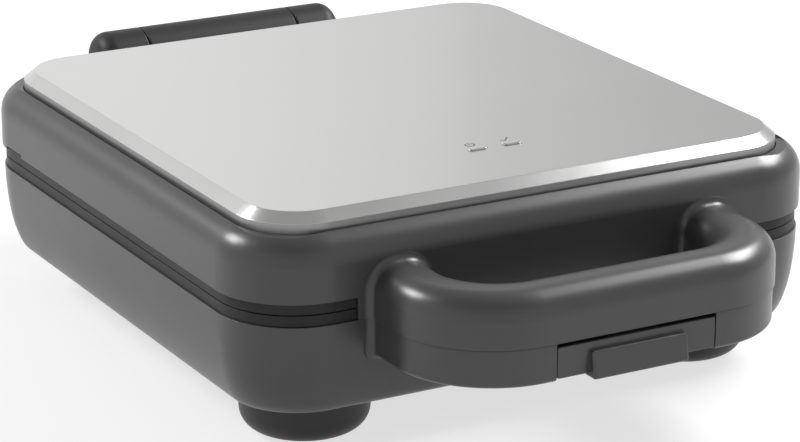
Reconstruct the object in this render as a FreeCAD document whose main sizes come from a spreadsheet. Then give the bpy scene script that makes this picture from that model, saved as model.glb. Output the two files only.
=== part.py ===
"""Sandwich maker: a hinged lid with a silver top cover over a base on four tall feet.

Millimetres, +Z up, -Y to the handle, +X to the right of someone facing the handle.
Shapes are drawn about the middle of the body, and every piece is then moved along Y
by frame_shift, so that the origin lies on the worktop under the middle of the whole.
"""
import FreeCAD, Part
import Sketcher
import math
import os
import re
from FreeCAD import Rotation, Vector

SIZES = {
    # Body, seen from above
    "body_width": 280.0,
    "body_depth": 292.0,
    "body_corner": 36.0,
    "wall": 2.5,
    "overcut": 3.0,
    # Base and its feet
    "foot_height": 20.5,
    "foot_top_radius": 28.7,
    "foot_tip_radius": 27.0,
    "foot_round": 9.5,
    "foot_bore": 15.0,
    "front_foot_inset_x": 45.3,
    "rear_foot_inset_x": 64.0,
    "foot_inset_y": 46.8,
    "tread_radius": 14.0,
    "tread_height": 2.2,
    "tread_proud": 0.6,
    "base_height": 40.7,
    "base_step": 0.8,
    "base_tuck": 10.0,
    "cover_margin": 4.0,
    "cover_ledge": 8.0,
    "cover_gap": 0.2,
    "vent_length": 46.0,
    "vent_width": 4.0,
    "vent_pitch": 10.0,
    # Lid and its top cover
    "lid_height": 28.0,
    "lid_round": 13.0,
    "recess_depth": 4.2,
    "ledge_width": 1.6,
    "ledge_depth": 1.8,
    "ledge_corner": 21.0,
    "rim_round": 0.4,
    "plate_margin": 10.4,
    "plate_gap": 0.5,
    "plate_corner": 28.0,
    "plate_rise": 6.3,
    "bevel_width": 4.9,
    "bevel_height": 4.0,
    "sheet": 1.0,
    "skirt_half": 93.5,
    "notch_start": 94.6,
    "notch_length": 17.0,
    "notch_height": 1.5,
    # Band between base and lid, which is the edge of the two plate frames
    "band_height": 10.0,
    "band_gap": 0.5,
    "band_recess": 1.6,
    "frame_lip": 5.0,
    "frame_gap": 0.2,
    "skirt_gap": 0.3,
    "parting_gap": 0.4,
    # Cooking plates: four wells each, halved by a diagonal ridge
    "cook_margin": 20.0,
    "cook_ledge": 4.0,
    "cook_gap": 0.3,
    "cook_sink": 0.5,
    "cook_flange": 3.0,
    "cast_wall": 2.5,
    "well_border": 6.0,
    "well_web": 8.0,
    "well_corner": 9.0,
    "well_draft": 5.0,
    "well_ridge": 7.0,
    "well_round": 3.0,
    "lower_well_depth": 15.0,
    "upper_well_depth": 8.0,
    # Heaters, reflectors and controls
    "heater_radius": 3.2,
    "heater_bend": 25.0,
    "heater_end_inset": 14.0,
    "terminal_radius": 1.6,
    "terminal_length": 9.0,
    "clamp_width": 10.0,
    "clamp_span": 24.0,
    "clamp_inset": 18.0,
    "clamp_sheet": 0.8,
    "reflector_sheet": 0.8,
    "reflector_gap": 1.2,
    "reflector_margin": 1.8,
    "thermostat_radius": 8.0,
    "thermostat_height": 5.0,
    "thermostat_spot": 32.0,
    "button_radius": 4.0,
    "button_height": 1.2,
    "fuse_radius": 2.0,
    "fuse_length": 12.0,
    "block_length": 30.0,
    "block_width": 16.0,
    "block_clear": 4.5,
    "pole_pitch": 7.5,
    "pole_radius": 2.6,
    "block_inset_x": 25.2,
    "block_inset_y": 11.2,
    "gland_clear": 8.4,
    "gland_drop": 18.0,
    "gland_radius": 6.0,
    "gland_bore": 3.5,
    "gland_flange": 8.5,
    "gland_flange_height": 5.0,
    "gland_sink": 7.5,
    "gland_length": 12.5,
    # Handle: an upper half on the lid and a lower half on the base
    "handle_width": 175.2,
    "handle_depth": 62.7,
    "handle_corner": 44.5,
    "handle_bar": 25.5,
    "handle_arm": 26.0,
    "handle_inner_corner": 22.0,
    "handle_round": 11.0,
    "handle_wall": 2.5,
    "handle_root": 4.0,
    "upper_handle_height": 22.0,
    "lower_handle_height": 16.1,
    "lower_handle_round": 2.0,
    "handle_cover": 2.0,
    "handle_cover_gap": 0.2,
    "root_flare": 3.2,
    "root_rim": 0.2,
    # Latch in the lower handle, its pin, spring and keeper
    "latch_width": 75.0,
    "latch_gap": 0.4,
    "latch_thickness": 3.0,
    "latch_top_gap": 1.9,
    "latch_rise": 1.2,
    "latch_round": 1.0,
    "latch_edge": 0.5,
    "pull_width": 45.2,
    "pull_proud": 4.2,
    "pull_lead": 2.2,
    "pull_drop": 0.7,
    "pull_height": 11.7,
    "pull_round": 1.0,
    "latch_pin_radius": 1.5,
    "latch_pin_back": 8.6,
    "latch_pin_drop": 7.3,
    "latch_lug_radius": 3.2,
    "latch_lug_width": 6.0,
    "latch_lug_sink": 2.1,
    "latch_lug_spread": 30.0,
    "latch_pin_overhang": 5.0,
    "running_gap": 0.05,
    "hook_half": 12.0,
    "hook_thickness": 2.4,
    "hook_set": 1.0,
    "hook_root": 3.0,
    "hook_reach": 6.0,
    "hook_nose": 2.0,
    "hook_nose_height": 2.3,
    "hook_nose_tip": 0.8,
    "hook_gap": 0.4,
    "keeper_lip": 1.5,
    "keeper_sheet": 1.4,
    "keeper_tab": 11.0,
    "keeper_tab_gap": 3.0,
    "spring_strip": 0.5,
    "spring_half": 5.0,
    "spring_gap": 0.2,
    "spring_clear": 2.6,
    "spring_foot": 8.0,
    "spring_rise": 1.0,
    "hook_swing": 3.0,
    "rib_width": 3.0,
    # Hinge at the back
    "hinge_back": 34.4,
    "hinge_rise": 14.2,
    "hinge_radius": 14.55,
    "hinge_half": 65.1,
    "hinge_end_round": 7.9,
    "hinge_seam": 0.6,
    "knuckle_half": 40.0,
    "seam_round": 0.8,
    "knuckle_arm": 5.0,
    "knuckle_arm_rise": 11.0,
    "knuckle_arm_inset": 2.0,
    "post_root": 10.0,
    "post_root_drop": 16.0,
    "post_gap": 0.6,
    "pin_radius": 3.0,
    "pin_seat": 17.0,
    # Screws
    "screw_radius": 1.5,
    "screw_head_radius": 3.0,
    "screw_head_height": 1.8,
    "screw_length": 9.0,
    "screw_gap": 0.3,
    "post_screw_drop": 15.0,
    "knuckle_screw_x": 26.0,
    # Indicator lights
    "lens_half": 4.6,
    "lens_radius": 1.8,
    "lens_rise": 0.7,
    "lens_round": 1.1,
    "lens_gap": 0.15,
    "light_x": 2.5,
    "light_y": 90.0,
    "light_pitch": 17.0,
    "lamp_radius": 1.7,
    "lamp_length": 11.0,
    "lamp_gap": 0.2,
    "holder_margin": 2.0,
    "holder_floor": 0.6,
}

# Places worked out from the sizes above
PLACES = {
    "half_x": "body_width / 2",
    "half_y": "body_depth / 2",
    "base_edge": "foot_height + base_height",
    "lid_edge": "base_edge + band_height",
    "lid_top": "lid_edge + lid_height",
    "recess_floor": "lid_top - recess_depth",
    "ceiling": "recess_floor - wall",
    "plate_top": "lid_top + plate_rise",
    "plate_half_x": "half_x - plate_margin",
    "plate_half_y": "half_y - plate_margin",
    "seam": "base_edge + parting_gap",
    "frame_height": "(band_height - band_gap) / 2",
    "lower_frame_face": "base_edge + frame_height",
    "upper_frame_face": "lid_edge - frame_height",
    "cook_half_x": "half_x - cook_margin",
    "cook_half_y": "half_y - cook_margin",
    "well_x": "cook_half_x - well_border - well_web / 2",
    "well_y": "cook_half_y - well_border - well_web / 2",
    "base_half_x": "half_x - base_step",
    "base_half_y": "half_y - base_step",
    "base_corner": "body_corner - base_step",
    "base_floor": "foot_height + 2 * wall",
    "cover_half_x": "base_half_x - base_tuck - cover_margin",
    "cover_half_y": "base_half_y - base_tuck - cover_margin",
    "handle_half": "handle_width / 2",
    "handle_front": "half_y + handle_depth",
    "latch_front": "handle_front - base_step",
    "latch_half": "latch_width / 2",
    "handle_bottom": "base_edge - lower_handle_height",
    "latch_top": "seam - latch_top_gap",
    "latch_bottom": "handle_bottom + latch_rise",
    "latch_pin_y": "latch_pin_back - latch_front",
    "latch_pin_z": "base_edge - latch_pin_drop",
    "hook_back": "latch_front - latch_thickness - hook_set",
    "hook_top": "seam + hook_reach",
    "hook_nose_bottom": "hook_top - hook_nose_height",
    "hinge_y": "half_y + hinge_back",
    "hinge_z": "lid_edge + hinge_rise",
    "heater_drop": "cast_wall + 2 * heater_radius",
    "screw_clear": "frame_lip + screw_head_radius + screw_gap",
    "gland_x": "hinge_half + gland_clear + gland_flange",
    "reflector_floor": "lower_frame_face - cook_sink - lower_well_depth - heater_drop - reflector_gap",
    "block_top": "reflector_floor - reflector_sheet - block_clear",
    "front_reach": "latch_front + pull_proud",
    "back_reach": "hinge_y + hinge_radius",
    "frame_shift": "(front_reach - back_reach) / 2",
}

WORD = re.compile(r"[a-z][a-z_]*")
NEAR = 0.01

doc = FreeCAD.newDocument("sandwich_maker")
sheet = doc.addObject("Spreadsheet::Sheet", "sizes")
for row, (alias, size) in enumerate(SIZES.items(), start=1):
    sheet.set(f"A{row}", alias)
    sheet.set(f"B{row}", str(size))
    sheet.setAlias(f"B{row}", alias)
doc.recompute()

sub_parts = []


def bound(text):
    """Turn words of the tables above into an expression on the cells of the sheet."""
    def swap(match):
        word = match.group()
        if word in SIZES:
            return "sizes." + word
        if word in PLACES:
            return "(" + bound(PLACES[word]) + ")"
        return word
    return WORD.sub(swap, text)


def number(text):
    """Value of an expression in millimetres."""
    return float(sheet.evalExpression(bound(text)))


def bind(item, **properties):
    """Tie properties of an object to expressions."""
    for name, text in properties.items():
        item.setExpression(name, bound(text))
    return item


def place(item, x="0", y="0", z="0", turn=None):
    """Place an object by expressions, turned about its own origin."""
    if turn:
        item.Placement.Rotation = turn
    for name, text in zip("xyz", (x, y, z)):
        item.setExpression(f"Placement.Base.{name}", bound(text))
    return item


def sub_part(item, label, x="0", y="0", z="0", turn=None):
    """Name a finished piece and move it into the frame of the whole object."""
    item.Label = label
    place(item, x, f"frame_shift + {y}", z, turn)
    sub_parts.append(item)
    return item


def new_body(name):
    return doc.addObject("PartDesign::Body", name)


def sketch_on(body, role, offset="0"):
    """Sketch on one of the body's own planes, moved along the plane's normal."""
    sketch = body.newObject("Sketcher::SketchObject", body.Name + "_sketch")
    support = next(plane for plane in body.Origin.OriginFeatures if plane.Role == role)
    sketch.AttachmentSupport = (support, [""])
    sketch.MapMode = "FlatFace"
    sketch.setExpression("AttachmentOffset.Base.z", bound(offset))
    return sketch


def fix(sketch, constraint, text):
    index = sketch.addConstraint(constraint)
    sketch.setExpression(f"Constraints[{index}]", bound(text))


def fix_point(sketch, geometry, point, x, y):
    fix(sketch, Sketcher.Constraint("DistanceX", -1, 1, geometry, point, number(x)), x)
    fix(sketch, Sketcher.Constraint("DistanceY", -1, 1, geometry, point, number(y)), y)


def circle(sketch, x, y, radius):
    shape = Part.Circle(Vector(number(x), number(y), 0), Vector(0, 0, 1), number(radius))
    index = sketch.addGeometry(shape, False)
    fix_point(sketch, index, 3, x, y)
    fix(sketch, Sketcher.Constraint("Radius", index, number(radius)), radius)


def polygon(sketch, points):
    """Straight-sided outline through points given as expressions."""
    spots = [Vector(number(x), number(y), 0) for x, y in points]
    count = len(spots)
    lines = []
    for index in range(count):
        side = Part.LineSegment(spots[index], spots[(index + 1) % count])
        lines.append(sketch.addGeometry(side, False))
    for index in range(count):
        following = lines[(index + 1) % count]
        sketch.addConstraint(Sketcher.Constraint("Coincident", lines[index], 2, following, 1))
    for line, (x, y) in zip(lines, points):
        fix_point(sketch, line, 1, x, y)


def rectangle(sketch, x_low, x_high, y_low, y_high):
    polygon(sketch, [(x_low, y_low), (x_high, y_low), (x_high, y_high), (x_low, y_high)])


def rounded(sketch, corners):
    """Outline of arcs about the given centres, counterclockwise, joined by tangent lines."""
    centres = [Vector(number(x), number(y), 0) for x, y, radius in corners]
    radii = [number(radius) for x, y, radius in corners]
    count = len(corners)
    normals = []
    for index in range(count):
        following = (index + 1) % count
        run = centres[following] - centres[index]
        lean = (radii[index] - radii[following]) / run.Length
        along = Vector(run).normalize()
        across = Vector(along.y, -along.x, 0)
        normals.append(along * lean + across * math.sqrt(1 - lean * lean))
    arcs = []
    for index in range(count):
        start = math.atan2(normals[index - 1].y, normals[index - 1].x)
        end = math.atan2(normals[index].y, normals[index].x)
        if end <= start:
            end += 2 * math.pi
        ring = Part.Circle(centres[index], Vector(0, 0, 1), radii[index])
        arcs.append(sketch.addGeometry(Part.ArcOfCircle(ring, start, end), False))
    for index in range(count):
        following = (index + 1) % count
        start = centres[index] + normals[index] * radii[index]
        end = centres[following] + normals[index] * radii[following]
        line = sketch.addGeometry(Part.LineSegment(start, end), False)
        sketch.addConstraint(Sketcher.Constraint("Tangent", arcs[index], 2, line, 1))
        sketch.addConstraint(Sketcher.Constraint("Tangent", line, 2, arcs[following], 1))
    for arc, (x, y, radius) in zip(arcs, corners):
        fix_point(sketch, arc, 3, x, y)
        fix(sketch, Sketcher.Constraint("Radius", arc, number(radius)), radius)


def rounded_rectangle(sketch, x_low, x_high, y_low, y_high, corner):
    low_x = f"{x_low} + {corner}"
    high_x = f"{x_high} - ({corner})"
    low_y = f"{y_low} + {corner}"
    high_y = f"{y_high} - ({corner})"
    spots = [(low_x, low_y), (high_x, low_y), (high_x, high_y), (low_x, high_y)]
    rounded(sketch, [(x, y, corner) for x, y in spots])


def centred(sketch, half_wide, half_deep, corner):
    rounded_rectangle(
        sketch, f"-({half_wide})", half_wide, f"-({half_deep})", half_deep, corner
    )


def pill(sketch, x, y, half_length, radius):
    rounded(sketch, [
        (f"{x} - {half_length} + {radius}", y, radius),
        (f"{x} + {half_length} - {radius}", y, radius),
    ])


def feature(body, kind, profile, length=None, reverse=False):
    """Pad or pocket; without a length it goes right through."""
    item = body.newObject("PartDesign::" + kind, body.Name + "_" + kind.lower())
    item.Profile = profile
    item.Reversed = reverse
    if length is None:
        item.Type = "ThroughAll"
    else:
        bind(item, Length=length)
    return item


def loft(body, kind, sketches):
    item = body.newObject("PartDesign::" + kind, body.Name + "_loft")
    item.Profile = sketches[0]
    item.Sections = sketches[1:]
    return item


def edges_at(shape, axis, level):
    """Names of the edges that lie in the plane across an axis at a level."""
    names = []
    for index, edge in enumerate(shape.Edges, start=1):
        box = edge.BoundBox
        low = getattr(box, axis + "Min")
        high = getattr(box, axis + "Max")
        if abs(low - level) < NEAR and abs(high - level) < NEAR:
            names.append(f"Edge{index}")
    return names


def edges_above(shape, level):
    """Names of the edges that lie wholly above a level."""
    edges = enumerate(shape.Edges, start=1)
    return [f"Edge{index}" for index, edge in edges if edge.BoundBox.ZMin > level + NEAR]


def round_edges(body, base, names, radius):
    item = body.newObject("PartDesign::Fillet", body.Name + "_fillet")
    item.Base = (base, names)
    bind(item, Radius=radius)
    doc.recompute()
    return item


def box(name, x_low, x_high, y_low, y_high, z_low, z_high):
    item = doc.addObject("Part::Box", name)
    bind(
        item,
        Length=f"{x_high} - ({x_low})",
        Width=f"{y_high} - ({y_low})",
        Height=f"{z_high} - ({z_low})",
    )
    return place(item, x_low, y_low, z_low)


TURNS = {
    "x": Rotation(Vector(0, 1, 0), 90),
    "y": Rotation(Vector(1, 0, 0), -90),
    "z": Rotation(),
    "-x": Rotation(Vector(0, 1, 0), -90),
    "-y": Rotation(Vector(1, 0, 0), 90),
    "-z": Rotation(Vector(1, 0, 0), 180),
}
OVER = Rotation(Vector(1, 0, 0), 180)


def cylinder(name, axis, x, y, z, radius, height):
    """Round bar from a point along a signed axis."""
    item = doc.addObject("Part::Cylinder", name)
    bind(item, Radius=radius, Height=height)
    return place(item, x, y, z, TURNS[axis])


def fuse(name, items):
    item = doc.addObject("Part::MultiFuse", name)
    item.Shapes = items
    item.Refine = True
    return item


def cut(name, base, tools):
    item = doc.addObject("Part::Cut", name)
    item.Base = base
    item.Tool = tools[0] if len(tools) == 1 else fuse(name + "_tools", tools)
    return item


def group(name, items):
    item = doc.addObject("Part::Compound", name)
    item.Links = items
    return item


def shifted(point, axis, text):
    """Point moved along a signed axis by an expression."""
    place_of = "xyz".index(axis[-1])
    moved = list(point)
    moved[place_of] = f"{point[place_of]} {'-' if axis[0] == '-' else '+'} ({text})"
    return moved


def screw(name, axis, point):
    """Pan-head screw whose head rests at a point; the axis runs from head to tip."""
    back = "-" + axis if axis[0] != "-" else axis[1]
    head = cylinder(name + "_head", back, *point, "screw_head_radius", "screw_head_height")
    shank = cylinder(name + "_shank", axis, *point, "screw_radius", "screw_length")
    return fuse(name, [head, shank])


def screw_hole(name, axis, point):
    """Hole that a screw's shank fills, begun a little before the head's seat."""
    start = shifted(point, axis, "-wall")
    return cylinder(name, axis, *start, "screw_radius", "screw_length + wall")


def tuck(level):
    """How far the base wall has curved in at a height."""
    fall = f"(base_edge - ({level})) / base_height"
    return f"base_tuck * (1 - sqrt(max(0; 1 - ({fall}) ^ 2)))"


def base_section(body, level, inset):
    sketch = sketch_on(body, "XY_Plane", level)
    drawn_in = f"({tuck(level)} + {inset})"
    corner = f"(base_corner - {CORNER_SHARE} * {drawn_in})"
    centred(sketch, f"(base_half_x - {drawn_in})", f"(base_half_y - {drawn_in})", corner)
    return sketch


# Heights at which the base's wall is drawn, in even steps round its quarter ellipse
WALL_ANGLES = (0, 15, 30, 45, 60, 75, 90)
WALL_LEVELS = [f"base_edge - base_height * sin({angle} deg)" for angle in WALL_ANGLES]
HOLLOW_LEVELS = WALL_LEVELS[:4] + ["base_floor"]
# Share of the wall's draw-in that the corner radius loses
CORNER_SHARE = 0.75
FLOOR_CORNER = f"base_corner - {CORNER_SHARE} * base_tuck"
VENT_ROWS = (-2, -1, 0, 1, 2)


def base_block(name):
    """Outer form of the base, without its hollow."""
    body = new_body(name)
    loft(body, "AdditiveLoft", [base_section(body, level, "0") for level in WALL_LEVELS])
    return body


# Form that pieces seated on the curved wall of the base are cut back to
BASE_FORM = base_block("base_form")


def lid_block(name):
    """Outer form of the lid, without its hollow."""
    body = new_body(name)
    sketch = sketch_on(body, "XY_Plane", "lid_edge")
    centred(sketch, "half_x", "half_y", "body_corner")
    block = feature(body, "Pad", sketch, "lid_height")
    doc.recompute()
    round_edges(body, block, edges_at(block.Shape, "Z", number("lid_top")), "lid_round")
    return body


def base_seat(drop, sign):
    """Inside face of the base wall at the lowest point of a screw's head."""
    level = f"(base_edge - {drop} - screw_head_radius)"
    return f"{sign}(base_half_y - wall - {tuck(level)})"


def handle_screw_points(level, seat):
    arm = "(handle_half - handle_arm / 2)"
    return [(x, seat, level) for x in (f"-{arm}", arm)]


UPPER_HANDLE_SCREWS = handle_screw_points("lid_edge + screw_clear", "wall - half_y")
LOWER_HANDLE_SCREWS = handle_screw_points("base_edge - screw_clear", base_seat("screw_clear", "-"))
KNUCKLE_SCREWS = [
    (x, "half_y - wall", "lid_edge + knuckle_arm_rise")
    for x in ("-knuckle_screw_x", "knuckle_screw_x")
]
POST_MIDDLE = "(knuckle_half + hinge_seam + hinge_half) / 2"
POST_SCREWS = [
    (x, base_seat("post_screw_drop", ""), "base_edge - post_screw_drop")
    for x in (f"-{POST_MIDDLE}", POST_MIDDLE)
]
COVER_SCREWS = [
    ("-(cover_half_x - cover_ledge / 2)", "0", "foot_height + screw_head_height"),
    ("cover_half_x - cover_ledge / 2", "0", "foot_height + screw_head_height"),
    ("0", "-(cover_half_y - cover_ledge / 2)", "foot_height + screw_head_height"),
    ("0", "cover_half_y - cover_ledge / 2", "foot_height + screw_head_height"),
]
HALF_PIN = "(latch_half + latch_pin_overhang)"
LIGHTS = {
    "power": "light_x - light_pitch / 2",
    "ready": "light_x + light_pitch / 2",
}


def screw_set(label, axis, points):
    screws = [screw(f"{label}_{index}", axis, point) for index, point in enumerate(points)]
    sub_part(group(label + "_group", screws), label)


def holes(name, axis, points):
    return [screw_hole(f"{name}_{index}", axis, point) for index, point in enumerate(points)]


def base_housing():
    body = base_block("base_housing_body")
    loft(body, "SubtractiveLoft", [base_section(body, level, "wall") for level in HOLLOW_LEVELS])
    sketch = sketch_on(body, "XY_Plane", "foot_height")
    centred(sketch, "cover_half_x", "cover_half_y", FLOOR_CORNER)
    feature(body, "Pocket", sketch, "wall", reverse=True)
    sketch = sketch_on(body, "XY_Plane", "foot_height")
    ledge = f"({FLOOR_CORNER} - cover_ledge / 2)"
    centred(sketch, "(cover_half_x - cover_ledge)", "(cover_half_y - cover_ledge)", ledge)
    feature(body, "Pocket", sketch, "base_floor - foot_height + overcut", reverse=True)
    gland_hole = cylinder(
        "gland_hole", "y", "gland_x", "half_y - base_tuck - wall", "base_edge - gland_drop", "gland_radius",
        "base_tuck + wall + overcut",
    )
    tools = [gland_hole]
    tools += holes("base_handle_hole", "-y", LOWER_HANDLE_SCREWS)
    tools += holes("base_post_hole", "y", POST_SCREWS)
    tools += holes("base_cover_hole", "z", COVER_SCREWS)
    sub_part(cut("base_housing_cut", body, tools), "base_housing")


def bottom_cover():
    body = new_body("bottom_cover_body")
    sketch = sketch_on(body, "XY_Plane", "foot_height")
    corner = f"({FLOOR_CORNER} - cover_gap)"
    centred(sketch, "(cover_half_x - cover_gap)", "(cover_half_y - cover_gap)", corner)
    feature(body, "Pad", sketch, "wall")
    sketch = sketch_on(body, "XY_Plane", "foot_height + wall")
    for row in VENT_ROWS:
        pill(sketch, "0", f"{row} * vent_pitch", "vent_length", "vent_width / 2")
    feature(body, "Pocket", sketch)
    tools = holes("cover_hole", "z", COVER_SCREWS)
    for index, (x, y, z) in enumerate(COVER_SCREWS):
        sink = cylinder(f"cover_sink_{index}", "-z", x, y, z, "screw_head_radius", "screw_head_height")
        tools.append(sink)
    sub_part(cut("bottom_cover_cut", body, tools), "bottom_cover")


def foot_spots():
    """Name and middle of each foot; the rear pair stands closer together."""
    deep = "(half_y - foot_inset_y)"
    spots = []
    for end, y in (("front", f"-{deep}"), ("rear", deep)):
        wide = f"(half_x - {end}_foot_inset_x)"
        spots.append((f"{end}_left", f"-{wide}", y))
        spots.append((f"{end}_right", wide, y))
    return spots


def feet():
    for spot, x, y in foot_spots():
        body = new_body(f"foot_{spot}_body")
        sketch = sketch_on(body, "XZ_Plane")
        polygon(sketch, [
            ("0", "tread_proud"),
            ("foot_tip_radius", "tread_proud"),
            ("foot_top_radius", "foot_height"),
            ("0", "foot_height"),
        ])
        turned = body.newObject("PartDesign::Revolution", body.Name + "_revolution")
        turned.Profile = sketch
        turned.ReferenceAxis = (sketch, ["V_Axis"])
        doc.recompute()
        rim = edges_at(turned.Shape, "Z", number("tread_proud"))
        round_edges(body, turned, rim, "foot_round")
        sketch = sketch_on(body, "XY_Plane", "foot_height")
        circle(sketch, "0", "0", "foot_bore")
        feature(body, "Pocket", sketch, "foot_height - tread_height - wall")
        sketch = sketch_on(body, "XY_Plane", "tread_proud")
        circle(sketch, "0", "0", "tread_radius")
        feature(body, "Pocket", sketch, "tread_height - tread_proud", reverse=True)
        sub_part(body, f"foot_{spot}", x, y)
        tread = cylinder(f"tread_{spot}_disc", "z", "0", "0", "0", "tread_radius", "tread_height")
        sub_part(tread, f"foot_tread_{spot}", x, y)


def plate_frame(label, face, turn, edge_half_inset, hollow_corner, front):
    """Ring round a cooking plate, drawn with its face at zero and its lip in the shell below."""
    body = new_body(label + "_body")
    sketch = sketch_on(body, "XY_Plane")
    corner = "(body_corner - band_recess)"
    centred(sketch, "(half_x - band_recess)", "(half_y - band_recess)", corner)
    feature(body, "Pad", sketch, "frame_height", reverse=True)
    sketch = sketch_on(body, "XY_Plane", "-frame_height")
    inset = f"({edge_half_inset} + wall + frame_gap)"
    centred(sketch, f"(half_x - {inset})", f"(half_y - {inset})", f"({hollow_corner} - frame_gap)")
    feature(body, "Pad", sketch, "frame_lip", reverse=True)
    sketch = sketch_on(body, "XY_Plane")
    plate_corner = "(well_corner + well_border + cook_gap)"
    centred(sketch, "(cook_half_x + cook_gap)", "(cook_half_y + cook_gap)", plate_corner)
    feature(body, "Pocket", sketch, "cook_sink + cook_flange")
    sketch = sketch_on(body, "XY_Plane")
    hole_corner = "(well_corner + well_border - cook_ledge)"
    centred(sketch, "(cook_half_x - cook_ledge)", "(cook_half_y - cook_ledge)", hole_corner)
    feature(body, "Pocket", sketch)
    sketch = sketch_on(body, "XY_Plane")
    reach = "skirt_half + skirt_gap"
    near, far = ("half_y - wall - skirt_gap", "half_y + overcut")
    if front < 0:
        near, far = (f"-({far})", f"-({near})")
    rectangle(sketch, f"-({reach})", reach, near, far)
    feature(body, "Pocket", sketch, "frame_height")
    sub_part(body, label, z=face, turn=turn)


def triangle(x_corner, y_corner, sign):
    """Centres of a triangular pocket's corner arcs, the square corner first."""
    steep = "sqrt(1 / well_x ^ 2 + 1 / well_y ^ 2)"
    clear = f"{steep} * (well_corner + well_ridge / 2)"
    x_far = f"well_x * (1 - well_corner / well_y - {clear})"
    y_far = f"well_y * (1 - well_corner / well_x - {clear})"
    return [
        (f"{x_corner} {sign} well_corner", f"{y_corner} {sign} well_corner"),
        (f"{x_corner} {sign} {x_far}", f"{y_corner} {sign} well_corner"),
        (f"{x_corner} {sign} well_corner", f"{y_corner} {sign} {y_far}"),
    ]


def mirrored_twice(body, features):
    """Repeat features of one quarter in the other three."""
    item = body.newObject("PartDesign::MultiTransform", body.Name + "_quarters")
    item.Originals = features
    mirrors = []
    for role in ("YZ_Plane", "XZ_Plane"):
        mirror = body.newObject("PartDesign::Mirrored", body.Name + "_mirror")
        plane = next(plane for plane in body.Origin.OriginFeatures if plane.Role == role)
        mirror.MirrorPlane = (plane, [""])
        mirrors.append(mirror)
    item.Transformations = mirrors
    body.Tip = item
    doc.recompute()
    return item


def cooking_plate(label, face, turn, depth):
    """Thin casting with four wells, its cooking face at zero and its tubs below."""
    body = new_body(label + "_body")
    sketch = sketch_on(body, "XY_Plane")
    centred(sketch, "cook_half_x", "cook_half_y", "(well_corner + well_border)")
    feature(body, "Pad", sketch, "cook_flange", reverse=True)
    low = "well_web / 2"
    tub = []
    levels = [("-cook_flange / 2", "0"), (f"-({depth} + cast_wall)", "well_draft")]
    for level, draft in levels:
        sketch = sketch_on(body, "XY_Plane", level)
        rounded(sketch, [
            (f"{low} + {x}", f"{low} + {y}", f"well_corner + cast_wall - {draft}")
            for x, y in (
                ("well_corner", "well_corner"),
                ("well_x - well_corner", "well_corner"),
                ("well_x - well_corner", "well_y - well_corner"),
                ("well_corner", "well_y - well_corner"),
            )
        ])
        tub.append(sketch)
    mirrored_twice(body, [loft(body, "AdditiveLoft", tub)])
    pockets = []
    high_x = f"{low} + well_x"
    high_y = f"{low} + well_y"
    for x_corner, y_corner, sign in ((low, low, "+"), (high_x, high_y, "-")):
        sections = []
        for level, draft in (("0", "0"), (f"-{depth}", "well_draft")):
            sketch = sketch_on(body, "XY_Plane", level)
            spots = triangle(x_corner, y_corner, sign)
            rounded(sketch, [(x, y, f"well_corner - {draft}") for x, y in spots])
            sections.append(sketch)
        pockets.append(loft(body, "SubtractiveLoft", sections))
    wells = mirrored_twice(body, pockets)
    floors = edges_at(wells.Shape, "Z", -number(depth))
    round_edges(body, wells, floors, "well_round")
    sub_part(body, label, z=face, turn=turn)


def heater(label, face, turn, depth):
    """Tubular heater in a U under the wells, open to the back, with two terminal pins."""
    level = f"-({depth} + cast_wall + heater_radius)"
    x = "(well_web / 2 + well_x / 2)"
    y_front = "-(well_web / 2 + well_y / 2)"
    y_back = "well_web / 2 + well_y - heater_end_inset"
    flip = -1 if turn else 1
    z = number(level)
    bend = number("heater_bend")
    side = number(x)
    front = number(y_front) * flip
    back = number(y_back) * flip
    inner = front + bend * flip
    corner = bend * math.sqrt(0.5)
    left_turn = Vector(-side + bend, inner, z)
    right_turn = Vector(side - bend, inner, z)
    edges = [
        Part.LineSegment(Vector(-side, back, z), Vector(-side, inner, z)),
        Part.Arc(
            Vector(-side, inner, z),
            left_turn + Vector(-corner, -corner * flip, 0),
            Vector(-side + bend, front, z),
        ),
        Part.LineSegment(Vector(-side + bend, front, z), Vector(side - bend, front, z)),
        Part.Arc(
            Vector(side - bend, front, z),
            right_turn + Vector(corner, -corner * flip, 0),
            Vector(side, inner, z),
        ),
        Part.LineSegment(Vector(side, inner, z), Vector(side, back, z)),
    ]
    path = Part.Wire([edge.toShape() for edge in edges])
    ring = Part.Circle(Vector(-side, back, z), Vector(0, 1, 0), number("heater_radius"))
    tube = path.makePipeShell([Part.Wire(ring.toShape())], True, False)
    pins = []
    for start in (-side, side):
        pin = Part.makeCylinder(
            number("terminal_radius"), number("terminal_length"), Vector(start, back, z), Vector(0, flip, 0)
        )
        pins.append(pin)
    item = doc.addObject("Part::Feature", label + "_tube")
    item.Shape = tube.fuse(pins)
    sub_part(item, label, z=face, turn=turn)


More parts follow.
